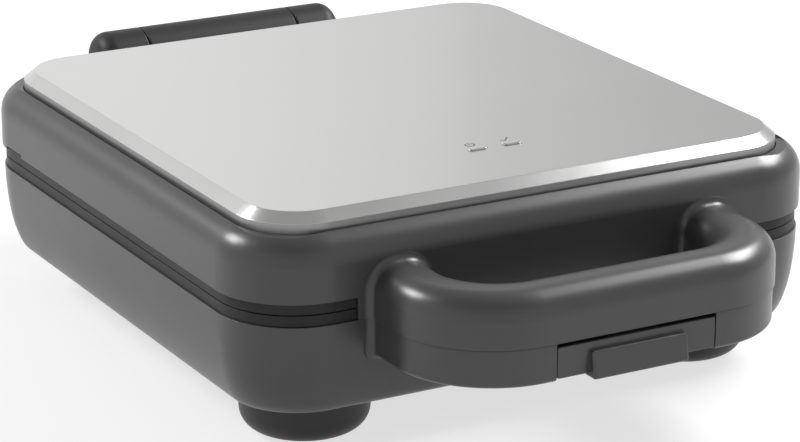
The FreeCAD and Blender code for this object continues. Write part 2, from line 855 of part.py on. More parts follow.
def heater_clamps(label, face, turn, depth):
    """Hat-shaped saddles that hold the heater's two legs against the wells."""
    level = f"(-({depth}) - cast_wall)"
    drop = f"({level} - 2 * heater_radius)"
    thick = "clamp_sheet"
    back, front = ("-", "") if turn else ("", "-")
    rows = (f"{back}(well_web / 2 + well_y / 2)", f"{front}(well_web / 2 + clamp_inset)")
    saddles = []
    for side in ("-", ""):
        for row, y in enumerate(rows):
            x = f"{side}(well_web / 2 + well_x / 2)"
            body = new_body(f"{label}_{row}_body")
            sketch = sketch_on(body, "XZ_Plane", f"-({y}) - clamp_width / 2")
            polygon(sketch, [
                (f"{x} - clamp_span / 2", level),
                (f"{x} - clamp_span / 2", f"{level} - {thick}"),
                (f"{x} - heater_radius - {thick}", f"{level} - {thick}"),
                (f"{x} - heater_radius - {thick}", f"{drop} - {thick}"),
                (f"{x} + heater_radius + {thick}", f"{drop} - {thick}"),
                (f"{x} + heater_radius + {thick}", f"{level} - {thick}"),
                (f"{x} + clamp_span / 2", f"{level} - {thick}"),
                (f"{x} + clamp_span / 2", level),
                (f"{x} + heater_radius", level),
                (f"{x} + heater_radius", drop),
                (f"{x} - heater_radius", drop),
                (f"{x} - heater_radius", level),
            ])
            feature(body, "Pad", sketch, "clamp_width")
            saddles.append(body)
    sub_part(group(label + "_group", saddles), label, z=face, turn=turn)


def reflector(label, face, turn, depth):
    """Sheet tray behind the heater, hung from the frame round the plate."""
    body = new_body(label + "_body")
    top = "-(frame_height + frame_lip)"
    floor = f"-(cook_sink + {depth} + heater_drop + reflector_gap)"
    half = "(cook_half_x - reflector_margin)"
    deep = "(cook_half_y - reflector_margin)"
    corner = "(well_corner + well_border - reflector_margin)"
    sketch = sketch_on(body, "XY_Plane", top)
    centred(sketch, half, deep, corner)
    feature(body, "Pad", sketch, f"{top} - ({floor}) + reflector_sheet", reverse=True)
    sketch = sketch_on(body, "XY_Plane", top)
    thick = "reflector_sheet"
    centred(sketch, f"({half} - {thick})", f"({deep} - {thick})", f"({corner} - {thick})")
    feature(body, "Pocket", sketch, f"{top} - ({floor})")
    sub_part(body, label, z=face, turn=turn)


def controls():
    """Thermostat, thermal fuse, terminal block and cord gland of the base."""
    well_floor = "lower_frame_face - cook_sink - lower_well_depth - cast_wall"
    disc = cylinder(
        "thermostat_disc", "-z", "thermostat_spot", "thermostat_spot", well_floor,
        "thermostat_radius", "thermostat_height",
    )
    button = cylinder(
        "thermostat_button", "-z", "thermostat_spot", "thermostat_spot",
        f"{well_floor} - thermostat_height", "button_radius", "button_height",
    )
    sub_part(fuse("thermostat_fuse", [disc, button]), "thermostat")
    tube = cylinder("fuse_tube", "x", "0", "0", "0", "fuse_radius", "fuse_length")
    start = "-thermostat_spot - fuse_length / 2"
    sub_part(tube, "thermal_fuse", start, "thermostat_spot", f"{well_floor} - fuse_radius")
    body = new_body("terminal_block_body")
    sketch = sketch_on(body, "XY_Plane", "foot_height + wall")
    right = "(cover_half_x - block_inset_x)"
    rear = "(cover_half_y - block_inset_y)"
    rectangle(sketch, f"{right} - block_length", right, f"{rear} - block_width", rear)
    feature(body, "Pad", sketch, "block_top - foot_height - wall")
    sketch = sketch_on(body, "XY_Plane", "block_top")
    for pole in (-1, 0, 1):
        x = f"{right} - block_length / 2 + {pole} * pole_pitch"
        circle(sketch, x, f"{rear} - block_width / 2", "pole_radius")
    feature(body, "Pocket", sketch, "(block_top - foot_height - wall) / 2")
    sub_part(body, "terminal_block")


def cord_gland():
    """Bush in the back wall that the mains lead would leave through."""
    level = "base_edge - gland_drop"
    seat = f"(base_half_y - {tuck(f'({level} - gland_flange)')})"
    start = f"base_half_y - {tuck(level)} - gland_sink"
    before = f"{start} - overcut"
    longer = "gland_length + 2 * overcut"
    tube = cylinder("gland_tube", "y", "gland_x", start, level, "gland_radius", "gland_length")
    flange = cylinder("gland_disc", "y", "gland_x", seat, level, "gland_flange", "gland_flange_height")
    bore = cylinder("gland_bore_rod", "y", "gland_x", before, level, "gland_bore", longer)
    passage = cylinder("gland_passage", "y", "gland_x", before, level, "gland_radius", longer)
    wall_round_tube = cut("gland_wall_cut", BASE_FORM, [passage])
    bush = fuse("gland_fuse", [tube, flange])
    sub_part(cut("cord_gland_cut", bush, [wall_round_tube, bore]), "cord_gland")


def handle_ring(name, start, height, down, inset, far_round, wall_of_arms):
    """D-shaped loop of the handle: start level, height, and how far inside the outer form."""
    body = new_body(name)
    half = f"(handle_half - {inset})"
    front = f"(handle_front - {inset})"
    corner = f"(handle_corner - {inset})"
    sketch = sketch_on(body, "XY_Plane", start)
    rounded_rectangle(sketch, f"-{half}", half, f"-{front}", f"{corner} - half_y + handle_corner", corner)
    ring = feature(body, "Pad", sketch, height, reverse=down)
    inner_half = f"(handle_half - handle_arm + {wall_of_arms})"
    inner_front = f"(handle_front - handle_bar + {wall_of_arms})"
    inner_corner = f"(handle_inner_corner + {wall_of_arms})"
    sketch = sketch_on(body, "XY_Plane", start)
    rounded_rectangle(
        sketch, f"-{inner_half}", inner_half, f"-{inner_front}", f"{inner_corner} - half_y + handle_corner",
        inner_corner,
    )
    ring = feature(body, "Pocket", sketch, height, reverse=not down)
    doc.recompute()
    far = number(f"{start} - ({height})" if down else f"{start} + {height}")
    if far_round:
        round_edges(body, ring, edges_at(ring.Shape, "Z", far), far_round)
    return body


def trim(body, start, behind):
    """Cut a handle ring off behind a plane across Y."""
    sketch = sketch_on(body, "XY_Plane", start)
    rectangle(sketch, "-handle_width", "handle_width", behind, "half_y")
    item = body.newObject("PartDesign::Pocket", body.Name + "_trim")
    item.Profile = sketch
    item.Type = "ThroughAll"
    item.Midplane = True
    doc.recompute()
    return item


def flare_roots(body, face, sunk, inset, low, high, corner, flat, down):
    """Spread the roots of the arms against the wall behind them, in a hollow round."""
    grow = "(root_flare + root_rim)"
    near = f"(handle_half - handle_arm + {inset})"
    far = f"(handle_half - {inset})"
    sketch = sketch_on(body, "XZ_Plane", f"{face} - {sunk}")
    for x_low, x_high in ((near, far), (f"-{far}", f"-{near}")):
        rounded_rectangle(
            sketch, f"{x_low} - {grow}", f"{x_high} + {grow}", f"{low} - {grow}", f"{high} + {grow}",
            f"({corner} + {grow})",
        )
    feature(body, "Pad", sketch, f"{sunk} + root_rim")
    sketch = sketch_on(body, "XY_Plane", flat)
    rectangle(sketch, "-handle_width", "handle_width", f"-{face} - handle_depth", "0")
    root = feature(body, "Pocket", sketch, reverse=down)
    doc.recompute()
    names = []
    for name in edges_at(root.Shape, "Y", -number(f"{face} + root_rim")):
        spread = root.Shape.getElement(name).BoundBox
        in_arm = max(abs(spread.XMin), abs(spread.XMax)) < number(far) + NEAR
        off_middle = min(abs(spread.XMin), abs(spread.XMax)) > number(near) - NEAR
        in_height = spread.ZMin > number(low) - NEAR and spread.ZMax < number(high) + NEAR
        if in_arm and off_middle and in_height:
            names.append(name)
    round_edges(body, root, names, "root_flare")


def upper_handle():
    height = "upper_handle_height"
    body = handle_ring("upper_handle_body", "seam", height, False, "0", "handle_round", "0")
    trim(body, "seam", "-half_y")
    below = "(seam - handle_round - overcut)"
    flare_roots(body, "half_y", "0", "0", below, f"(seam + {height})", "handle_round", "seam", False)
    inside = "handle_wall"
    core = handle_ring(
        "upper_handle_core", "seam", f"{height} - handle_wall", False, inside, "handle_round - handle_wall",
        "handle_wall",
    )
    trim(core, "seam", "-half_y - handle_root")
    tools = [core] + holes("upper_handle_hole", "-y", UPPER_HANDLE_SCREWS)
    sub_part(cut("upper_handle_cut", body, tools), "upper_handle")


def lower_handle():
    height = "lower_handle_height"
    step = "base_step"
    body = handle_ring("lower_handle_body", "base_edge", height, True, step, "lower_handle_round", step)
    trim(body, "base_edge", "wall - base_half_y")
    above = "(base_edge + lower_handle_round + overcut)"
    flare_roots(
        body, "base_half_y", "wall", step, "handle_bottom", above, "lower_handle_round", "base_edge", True
    )
    inside = "(base_step + handle_wall)"
    core = handle_ring(
        "lower_handle_core", "base_edge", f"{height} - handle_wall", True, inside, None, inside
    )
    trim(core, "base_edge", "-half_y - handle_root")
    doorway = "(latch_half + latch_gap)"
    gate = box(
        "latch_doorway", f"-{doorway}", doorway, "-handle_front - overcut",
        "latch_thickness + hook_set - latch_front", "handle_bottom - overcut", "base_edge + overcut",
    )
    tools = [core, gate, BASE_FORM]
    tools += holes("lower_handle_hole", "-y", LOWER_HANDLE_SCREWS)
    shell = cut("lower_handle_shell", body, tools)
    ribs = []
    for side, sign in (("left", "-"), ("right", "")):
        near = f"{doorway} + latch_gap"
        far = f"{near} + rib_width"
        low, high = (f"-({far})", f"-({near})") if sign else (near, far)
        rib = box(
            f"pin_rib_{side}", low, high, "handle_wall / 2 - latch_front",
            "handle_bar - handle_front - handle_wall / 2", "handle_bottom + handle_wall / 2",
            "base_edge - handle_cover",
        )
        ribs.append(rib)
    pin_hole = cylinder(
        "latch_pin_hole", "x", f"-{HALF_PIN}", "latch_pin_y", "latch_pin_z", "latch_pin_radius",
        f"2 * {HALF_PIN}",
    )
    ribbed = fuse("lower_handle_fuse", [shell] + ribs)
    sub_part(cut("lower_handle_cut", ribbed, [pin_hole]), "lower_handle")


def handle_cover(label, start, down, inset, notches):
    """Plate that closes the open side of a handle half, notched for the latch."""
    inside = f"({inset} + handle_wall + handle_cover_gap)"
    body = handle_ring(label + "_body", start, "handle_cover", down, inside, None, inside)
    trim(body, start, "-half_y - handle_root - handle_cover_gap")
    tools = []
    for index, (half, back) in enumerate(notches):
        notch = box(
            f"{label}_notch_{index}", f"-({half})", half, "-handle_front", back,
            "base_edge - handle_cover - overcut", "seam + handle_cover + overcut",
        )
        tools.append(notch)
    sub_part(cut(label + "_cut", body, tools), label)


def handle_covers():
    hook_room = "hook_thickness + hook_swing - hook_back"
    keeper_room = "hook_half + keeper_tab_gap + keeper_tab + latch_gap"
    handle_cover("upper_handle_cover", "seam", False, "0", [(keeper_room, hook_room)])
    panel_room = "hook_set + latch_gap - hook_back"
    handle_cover(
        "lower_handle_cover", "base_edge", True, "base_step",
        [("latch_half + 2 * latch_gap", panel_room), ("hook_half + hook_swing", hook_room)],
    )


def latch():
    """Panel flush in the lower handle, with a finger pull, two lugs on the pin and a hook."""
    body = new_body("latch_body")
    sketch = sketch_on(body, "XZ_Plane", "latch_front")
    rounded_rectangle(sketch, "-latch_half", "latch_half", "latch_bottom", "latch_top", "latch_round")
    panel = feature(body, "Pad", sketch, "latch_thickness", reverse=True)
    doc.recompute()
    round_edges(body, panel, edges_at(panel.Shape, "Y", -number("latch_front")), "latch_edge")
    sketch = sketch_on(body, "YZ_Plane", "-pull_width / 2")
    bottom = "(handle_bottom - pull_drop)"
    top = f"({bottom} + pull_height)"
    back = "(latch_thickness - latch_front)"
    polygon(sketch, [
        (f"{back} - latch_thickness / 2", top),
        ("-(latch_front + pull_lead)", top),
        ("-(latch_front + pull_proud)", bottom),
        (back, bottom),
        (back, "latch_bottom + latch_thickness"),
    ])
    pull = feature(body, "Pad", sketch, "pull_width")
    doc.recompute()
    proud = []
    for index, edge in enumerate(pull.Shape.Edges, start=1):
        if edge.CenterOfMass.y < -number("latch_front + pull_lead / 4"):
            proud.append(f"Edge{index}")
    round_edges(body, pull, proud, "pull_round")
    for side in ("-", ""):
        sketch = sketch_on(body, "YZ_Plane", f"{side}latch_lug_spread - latch_lug_width / 2")
        rounded(sketch, [
            ("latch_pin_y", "latch_pin_z", "latch_lug_radius"),
            (f"{back} + latch_lug_radius - latch_lug_sink", "latch_pin_z", "latch_lug_radius"),
        ])
        feature(body, "Pad", sketch, "latch_lug_width")
    sketch = sketch_on(body, "YZ_Plane", "-hook_half")
    stem = "(-hook_back)"
    polygon(sketch, [
        (f"{back} - latch_thickness / 2", "latch_pin_z - hook_root"),
        (f"{stem} + hook_thickness", "latch_pin_z - hook_root"),
        (f"{stem} + hook_thickness", "hook_top"),
        (stem, "hook_top"),
        (f"{stem} - hook_nose", "hook_nose_bottom + hook_nose_tip"),
        (f"{stem} - hook_nose", "hook_nose_bottom"),
        (stem, "hook_nose_bottom"),
        (stem, "latch_top - latch_round"),
        (f"{back} - latch_thickness / 2", "latch_top - latch_round"),
    ])
    feature(body, "Pad", sketch, "2 * hook_half")
    sketch = sketch_on(body, "YZ_Plane", "latch_half")
    circle(sketch, "latch_pin_y", "latch_pin_z", "latch_pin_radius + running_gap")
    feature(body, "Pocket", sketch)
    sub_part(body, "latch")
    pin = cylinder("latch_pin_rod", "x", "0", "0", "0", "latch_pin_radius", f"2 * {HALF_PIN}")
    sub_part(pin, "latch_pin", f"-{HALF_PIN}", "latch_pin_y", "latch_pin_z")


def latch_spring():
    """Steel strip that stands on the floor of the lower handle and leans on the hook."""
    body = new_body("latch_spring_body")
    floor = "(handle_bottom + handle_wall)"
    strip = "spring_strip"
    rear = "(latch_pin_y + spring_clear)"
    tip = "(hook_thickness + spring_gap - hook_back)"
    over = "(latch_pin_z + spring_clear)"
    sketch = sketch_on(body, "YZ_Plane", "-spring_half")
    polygon(sketch, [
        (f"{rear} + spring_foot", floor),
        (f"{rear} + spring_foot", f"{floor} + {strip}"),
        (f"{rear} + {strip}", f"{floor} + {strip}"),
        (f"{rear} + {strip}", f"{over} + {strip}"),
        (tip, f"{over} + spring_rise + {strip}"),
        (tip, f"{over} + spring_rise"),
        (rear, over),
        (rear, floor),
    ])
    feature(body, "Pad", sketch, "2 * spring_half")
    sub_part(body, "latch_spring")


def latch_keeper():
    """Steel bar inside the upper handle that the hook catches, held by two tabs."""
    wall_face = "(handle_wall - handle_front)"
    lip = "(keeper_lip - hook_nose - hook_back)"
    top = "(hook_nose_bottom - hook_gap)"
    half = "(hook_half + keeper_tab_gap + keeper_tab)"
    bar = box("keeper_bar", f"-{half}", half, wall_face, lip, f"{top} - keeper_sheet", top)
    tabs = []
    for side, low, high in (
        ("left", f"-{half}", "-(hook_half + keeper_tab_gap)"),
        ("right", "hook_half + keeper_tab_gap", half),
    ):
        tab = box(
            f"keeper_tab_{side}", low, high, wall_face, f"{wall_face} + keeper_sheet",
            f"{top} - keeper_sheet", "seam + upper_handle_height - handle_round",
        )
        tabs.append(tab)
    sub_part(fuse("keeper_fuse", [bar] + tabs), "latch_keeper")


def lid_housing():
    body = lid_block("lid_housing_body")
    sketch = sketch_on(body, "XY_Plane", "lid_top")
    centred(sketch, "(plate_half_x + ledge_width)", "(plate_half_y + ledge_width)", "ledge_corner")
    ledge = feature(body, "Pocket", sketch, "ledge_depth")
    doc.recompute()
    round_edges(body, ledge, edges_above(ledge.Shape, number("lid_top - ledge_depth")), "rim_round")
    sketch = sketch_on(body, "XY_Plane", "lid_top")
    centred(sketch, "(plate_half_x + plate_gap)", "(plate_half_y + plate_gap)", "(plate_corner + plate_gap)")
    feature(body, "Pocket", sketch, "recess_depth")
    sketch = sketch_on(body, "XY_Plane", "lid_edge")
    centred(sketch, "(half_x - wall)", "(half_y - wall)", "(body_corner - wall)")
    feature(body, "Pocket", sketch, "ceiling - lid_edge", reverse=True)
    sketch = sketch_on(body, "XY_Plane", "lid_edge")
    rectangle(sketch, "-skirt_half", "skirt_half", "-half_y", "wall - half_y")
    feature(body, "Pad", sketch, "lid_edge - seam", reverse=True)
    sketch = sketch_on(body, "XY_Plane", "lid_edge")
    for low, high in (
        ("-half_x - overcut", "wall + overcut - half_x"),
        ("half_x - wall - overcut", "half_x + overcut"),
    ):
        rectangle(sketch, low, high, "notch_start", "notch_start + notch_length")
    feature(body, "Pocket", sketch, "notch_height", reverse=True)
    sketch = sketch_on(body, "XY_Plane", "recess_floor")
    for x in LIGHTS.values():
        pill(sketch, x, "-light_y", "(lens_half + lens_gap)", "(lens_radius + lens_gap)")
    feature(body, "Pocket", sketch, "wall + overcut")
    tools = holes("lid_handle_hole", "-y", UPPER_HANDLE_SCREWS)
    tools += holes("lid_knuckle_hole", "y", KNUCKLE_SCREWS)
    sub_part(cut("lid_housing_cut", body, tools), "lid_housing")


def cover_section(body, level, inset):
    sketch = sketch_on(body, "XY_Plane", level)
    centred(sketch, f"(plate_half_x - {inset})", f"(plate_half_y - {inset})", f"(plate_corner - {inset})")
    return sketch


def top_cover():
    """Pressed metal tray, bevelled round its top, set into the recess of the lid."""
    body = new_body("top_cover_body")
    shoulder = "(plate_top - bevel_height)"
    feature(body, "Pad", cover_section(body, "recess_floor", "0"), f"{shoulder} - recess_floor")
    bevel = [cover_section(body, shoulder, "0"), cover_section(body, "plate_top", "bevel_width")]
    loft(body, "AdditiveLoft", bevel)
    inside = f"({shoulder} - sheet / 2)"
    hollow = cover_section(body, "recess_floor", "sheet")
    feature(body, "Pocket", hollow, f"{inside} - recess_floor", reverse=True)
    under_bevel = [
        cover_section(body, inside, "sheet"),
        cover_section(body, "plate_top - sheet", "(bevel_width + sheet / 2)"),
    ]
    loft(body, "SubtractiveLoft", under_bevel)
    sketch = sketch_on(body, "XY_Plane", "plate_top")
    for x in LIGHTS.values():
        pill(sketch, x, "-light_y", "(lens_half + lens_gap)", "(lens_radius + lens_gap)")
    feature(body, "Pocket", sketch, "sheet + overcut")
    sub_part(body, "top_cover")


def lights():
    """Lenses in the top cover, and below them neon lamps in a holder under the ceiling."""
    lamp_z = "(ceiling - lamp_gap - lamp_radius)"
    room = "(lamp_length / 2 + lamp_gap)"
    cells = []
    for name, x in LIGHTS.items():
        body = new_body(f"{name}_lens_body")
        sketch = sketch_on(body, "XY_Plane", "ceiling")
        pill(sketch, x, "-light_y", "lens_half", "lens_radius")
        lens = feature(body, "Pad", sketch, "plate_top + lens_rise - ceiling")
        doc.recompute()
        round_edges(body, lens, edges_at(lens.Shape, "Z", number("plate_top + lens_rise")), "lens_round")
        sub_part(body, f"{name}_light_lens")
        start = f"{x} - lamp_length / 2"
        lamp = cylinder(f"{name}_lamp_glass", "x", "0", "0", "0", "lamp_radius", "lamp_length")
        sub_part(lamp, f"{name}_lamp", start, "-light_y", lamp_z)
        cell = box(
            f"{name}_cell", f"{x} - {room}", f"{x} + {room}", "-light_y - lamp_radius - lamp_gap",
            "lamp_radius + lamp_gap - light_y", f"{lamp_z} - lamp_radius", "ceiling + overcut",
        )
        cells.append(cell)
    reach = f"(light_pitch / 2 + {room} + holder_margin)"
    wide = "(lamp_radius + lamp_gap + holder_margin)"
    block = box(
        "lamp_holder_block", f"light_x - {reach}", f"light_x + {reach}", f"-light_y - {wide}",
        f"{wide} - light_y", f"{lamp_z} - lamp_radius - holder_floor", "ceiling",
    )
    sub_part(cut("lamp_holder_cut", block, cells), "lamp_holder")


def hinge():
    """Two posts on the base, a knuckle on the lid and the pin through all three."""
    barrel = ("hinge_y", "hinge_z", "hinge_radius")
    width = "(hinge_half - knuckle_half - hinge_seam)"
    clear = "(knuckle_half + hinge_seam)"
    back_of_body = box(
        "back_of_body", "-body_width", "body_width", "0", "half_y + post_gap", "base_edge", "lid_top"
    )
    for side, start, outer in (("left", "-hinge_half", "-hinge_half"), ("right", clear, "hinge_half")):
        body = new_body(f"hinge_post_{side}_body")
        sketch = sketch_on(body, "YZ_Plane", start)
        rounded(sketch, [barrel, ("base_half_y", "base_edge - post_root_drop", "post_root")])
        post = feature(body, "Pad", sketch, width)
        doc.recompute()
        post = round_edges(body, post, edges_at(post.Shape, "X", number(outer)), "hinge_end_round")
        inner = f"-{clear}" if side == "left" else clear
        round_edges(body, post, edges_at(post.Shape, "X", number(inner)), "seam_round")
        sketch = sketch_on(body, "YZ_Plane", inner)
        circle(sketch, "hinge_y", "hinge_z", "pin_radius")
        feature(body, "Pocket", sketch, "pin_seat", reverse=side == "right")
        tools = [BASE_FORM, back_of_body]
        tools += holes(f"post_hole_{side}", "y", POST_SCREWS)
        sub_part(cut(f"hinge_post_{side}_cut", body, tools), f"hinge_post_{side}")
    body = new_body("hinge_knuckle_body")
    sketch = sketch_on(body, "YZ_Plane", "-knuckle_half")
    circle(sketch, *barrel)
    knuckle = feature(body, "Pad", sketch, "2 * knuckle_half")
    doc.recompute()
    ends = edges_at(knuckle.Shape, "X", number("-knuckle_half"))
    ends += edges_at(knuckle.Shape, "X", number("knuckle_half"))
    round_edges(body, knuckle, ends, "seam_round")
    sketch = sketch_on(body, "YZ_Plane", "knuckle_arm_inset - knuckle_half")
    height = "lid_edge + knuckle_arm_rise"
    rounded(sketch, [("half_y - knuckle_arm", height, "knuckle_arm"), ("hinge_y", height, "knuckle_arm")])
    feature(body, "Pad", sketch, "2 * (knuckle_half - knuckle_arm_inset)")
    sketch = sketch_on(body, "YZ_Plane", "knuckle_half")
    circle(sketch, "hinge_y", "hinge_z", "pin_radius + running_gap")
    feature(body, "Pocket", sketch)
    tools = [lid_block("knuckle_wall")] + holes("knuckle_hole", "y", KNUCKLE_SCREWS)
    sub_part(cut("hinge_knuckle_cut", body, tools), "hinge_knuckle")
    half_pin = f"({clear} + pin_seat)"
    pin = cylinder("hinge_pin_rod", "x", "0", "0", "0", "pin_radius", f"2 * {half_pin}")
    sub_part(pin, "hinge_pin", f"-{half_pin}", "hinge_y", "hinge_z")


for make in (base_housing, bottom_cover, feet):
    make()
for side, turn, inset, corner, front in (
    ("lower", None, "base_step", f"base_corner - {CORNER_SHARE} * wall", -1),
    ("upper", OVER, "0", "body_corner - wall", 1),
):
    face = f"{side}_frame_face"
    cook_face = f"{face} - cook_sink" if side == "lower" else f"{face} + cook_sink"
    depth = f"{side}_well_depth"
    plate_frame(f"{side}_plate_frame", face, turn, inset, corner, front)
    cooking_plate(f"{side}_cooking_plate", cook_face, turn, depth)
    heater(f"{side}_heater", cook_face, turn, depth)
    heater_clamps(f"{side}_heater_clamps", cook_face, turn, depth)
    reflector(f"{side}_reflector", face, turn, depth)
for make in (
    controls, cord_gland, upper_handle, lower_handle, handle_covers, latch, latch_spring, latch_keeper,
    lid_housing, top_cover, lights, hinge,
):
    make()
screw_set("upper_handle_screws", "-y", UPPER_HANDLE_SCREWS)
screw_set("lower_handle_screws", "-y", LOWER_HANDLE_SCREWS)
screw_set("hinge_post_screws", "y", POST_SCREWS)
screw_set("hinge_knuckle_screws", "y", KNUCKLE_SCREWS)
screw_set("bottom_cover_screws", "z", COVER_SCREWS)

SUBTRACTIVE = ("PartDesign::Pocket", "PartDesign::SubtractiveLoft")
doc.recompute()
for item in doc.Objects:
    if "Invalid" in item.State or "Error" in item.State:
        raise RuntimeError(f"{item.Label} failed: {item.State}")
    if item.TypeId in SUBTRACTIVE and item.Shape.Volume > item.BaseFeature.Shape.Volume - NEAR:
        raise RuntimeError(f"{item.Label} cuts nothing")
for item in sub_parts:
    if item.Shape.isNull() or not item.Shape.isValid():
        raise RuntimeError(f"{item.Label} has no valid shape")
os.makedirs("parts", exist_ok=True)
for item in sub_parts:
    item.Shape.exportStep(f"parts/{item.Label}.step")
    print(item.Label, len(item.Shape.Solids), round(item.Shape.Volume), item.Shape.BoundBox)
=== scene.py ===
import math

import bmesh
import bpy
from bpy.props import FloatProperty, FloatVectorProperty, PointerProperty
from mathutils import Matrix, Vector
from mathutils.geometry import delaunay_2d_cdt


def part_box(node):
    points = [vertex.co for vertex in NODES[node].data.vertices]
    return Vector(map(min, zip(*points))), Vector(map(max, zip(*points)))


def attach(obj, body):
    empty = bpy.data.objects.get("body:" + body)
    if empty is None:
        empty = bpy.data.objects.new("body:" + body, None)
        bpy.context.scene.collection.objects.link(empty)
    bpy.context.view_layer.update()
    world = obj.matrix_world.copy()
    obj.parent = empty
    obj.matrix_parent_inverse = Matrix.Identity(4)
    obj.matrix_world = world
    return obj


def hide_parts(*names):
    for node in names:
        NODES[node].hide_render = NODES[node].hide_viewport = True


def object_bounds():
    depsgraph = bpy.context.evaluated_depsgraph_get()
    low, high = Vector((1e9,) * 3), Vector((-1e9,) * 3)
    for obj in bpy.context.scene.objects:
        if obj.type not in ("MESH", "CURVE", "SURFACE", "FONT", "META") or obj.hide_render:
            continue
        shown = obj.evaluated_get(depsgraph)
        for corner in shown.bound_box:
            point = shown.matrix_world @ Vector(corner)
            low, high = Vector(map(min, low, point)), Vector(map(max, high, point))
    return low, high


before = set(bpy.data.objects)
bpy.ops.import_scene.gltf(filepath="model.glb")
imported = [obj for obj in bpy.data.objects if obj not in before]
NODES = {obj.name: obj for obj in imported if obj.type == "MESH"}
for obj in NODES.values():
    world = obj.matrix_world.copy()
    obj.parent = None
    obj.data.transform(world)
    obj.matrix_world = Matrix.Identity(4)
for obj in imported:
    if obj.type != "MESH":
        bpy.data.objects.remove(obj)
CAD_LOW, CAD_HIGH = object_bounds()

bl_info = {
    "name": "Sandwich maker finishes",
    "version": (1, 0, 0),
    "blender": (4, 5, 0),
    "location": "3D View > Sidebar > Sandwich maker",
    "description": "Finishes, screws and printed marks of a hinged sandwich maker, with a studio stage",
    "category": "Object",
}

MM = 0.001
SENSOR_WIDTH = 36.0
SHARP_DEGREES = 30
GLASS_TONES = (0.92, 0.86, 0.78), (0.98, 0.93, 0.86)
FLOOR_TONES = (0.90, 0.90, 0.90), (0.94, 0.94, 0.94)
# SIDE_SHADE darkens the colour of the cover's upright sides: painted shade.
SILVER_ROUGH, SIDE_ROUGH, SIDE_SHADE = (0.17, 0.20), 0.25, 0.55
MIX_FIRST, MIX_SECOND, MIX_RESULT = 6, 7, 2
LEFT_PLACE, LEFT_SIZE = Vector((-1.03, 0.86, 1.04)), (0.55, 0.45)
RIGHT_PLACE, RIGHT_SIZE = Vector((1.20, -0.02, 1.20)), (1.0, 0.5)
BACK_PLACE, BACK_SIZE = Vector((0.48, 1.26, 0.62)), (0.5, 0.4)
FOOT_SPOTS = ("front_left", "front_right", "rear_left", "rear_right")


def colour(name, description, value):
    """Property for a colour in linear light."""
    return FloatVectorProperty(
        name=name, description=description, subtype="COLOR", size=3, min=0.0, max=1.0, default=value
    )


def length(name, description, millimetres):
    """Property for a length in metres, given in millimetres."""
    return FloatProperty(
        name=name, description=description, subtype="DISTANCE", unit="LENGTH", min=0.0, precision=5,
        default=millimetres * MM,
    )


def share(name, description, value):
    """Property for a share between none and all."""
    return FloatProperty(
        name=name, description=description, subtype="FACTOR", min=0.0, max=1.0, default=value
    )


def strength(name, description, value):
    """Property for the strength of a light."""
    return FloatProperty(name=name, description=description, min=0.0, default=value)


def angle(name, description, degrees):
    """Property for an angle, given in degrees."""
    return FloatProperty(
        name=name, description=description, subtype="ANGLE", unit="ROTATION", default=math.radians(degrees)
    )


class FinishSettings(bpy.types.PropertyGroup):
    """Colours and textures of the surfaces."""

    charcoal: colour("Charcoal", "Moulded plastic of lid, base, handle and latch", (0.0460, 0.0458, 0.0475))
    black: colour("Black", "Heat-proof plastic of plate frames, hinge and covers", (0.016, 0.016, 0.017))
    foot: colour("Feet", "Moulded plastic of the feet", (0.022, 0.022, 0.023))
    rubber: colour("Rubber", "Treads under the feet and the gland", (0.022, 0.022, 0.022))
    silver: colour("Silver", "Satin metal of the top cover", (0.60, 0.60, 0.595))
    non_stick: colour("Non-stick", "Coat of the cooking plates", (0.030, 0.030, 0.031))
    bright_sheet: colour("Bright sheet", "Rolled sheet of reflectors and clamps", (0.78, 0.78, 0.77))
    steel: colour("Steel", "Plated steel of pins, screws and heaters", (0.58, 0.57, 0.55))
    terminal: colour("Terminal block", "Pale moulded plastic of the terminals", (0.74, 0.73, 0.69))
    lens: colour("Lenses", "Translucent plastic over the lamps", (0.30, 0.30, 0.30))
    print_ink: colour("Printed marks", "Ink of the marks by the lenses", (0.045, 0.045, 0.045))
    grain: length("Grain", "Size of the grain moulded into the plastics", 0.45)
    edge_round: length("Edge rounding", "Radius that catches light along moulded edges", 0.4)


class MarkSettings(bpy.types.PropertyGroup):
    """Printed marks beside the two lenses."""

    size: length("Size", "Height of a mark", 5.0)
    stroke: length("Stroke", "Width of a printed line", 0.7)
    thickness: length("Thickness", "Thickness of the ink", 0.02)
    sink: length("Sink", "Depth of the ink in the cover's face", 0.005)
    lead: length("Lead", "Distance from the lens to its mark's far side", 7.4)


class ScrewSettings(bpy.types.PropertyGroup):
    """Cross-headed screws that hold the bottom cover."""

    head: length("Head", "Radius of the head", 3.0)
    head_height: length("Head height", "Height of the head", 1.8)
    shank: length("Shank", "Radius of the shank over its thread", 1.5)
    pitch: length("Pitch", "Rise of the thread in one turn", 0.8)
    recess: share("Recess", "Half length of the cross, as a share of the head's radius", 0.62)
    recess_width: share("Recess width", "Half width of the cross, as a share of the head's radius", 0.15)
    recess_depth: length("Recess depth", "Depth of the cross", 1.0)
    recess_taper: share("Recess taper", "Size of the cross at its floor, as a share of its size above", 0.5)
    rim: length("Rim", "Rounding of the head's rim", 0.35)
    rim_step: length("Rim step", "Inset of the rounding's middle from the rim's side and face", 0.1)
    point: length("Point", "Length of the point", 1.6)
    tip: length("Tip", "Radius at the end of the point", 0.1)
    thread_depth: share("Thread depth", "Depth of the thread, as a share of the shank's radius", 0.22)


class TreadSettings(bpy.types.PropertyGroup):
    """Rubber treads with ring grooves under the feet."""

    groove: length("Groove", "Width of a groove", 1.3)
    groove_depth: length("Groove depth", "Depth of a groove", 0.7)
    groove_slope: share("Groove slope", "Width of each side's slope, as a share of the groove's width", 0.2)
    pitch: length("Pitch", "Distance between two grooves", 3.2)
    first: length("First groove", "Radius of the smallest groove", 3.6)
    edge: length("Edge", "Bevel of the lower edge", 0.5)


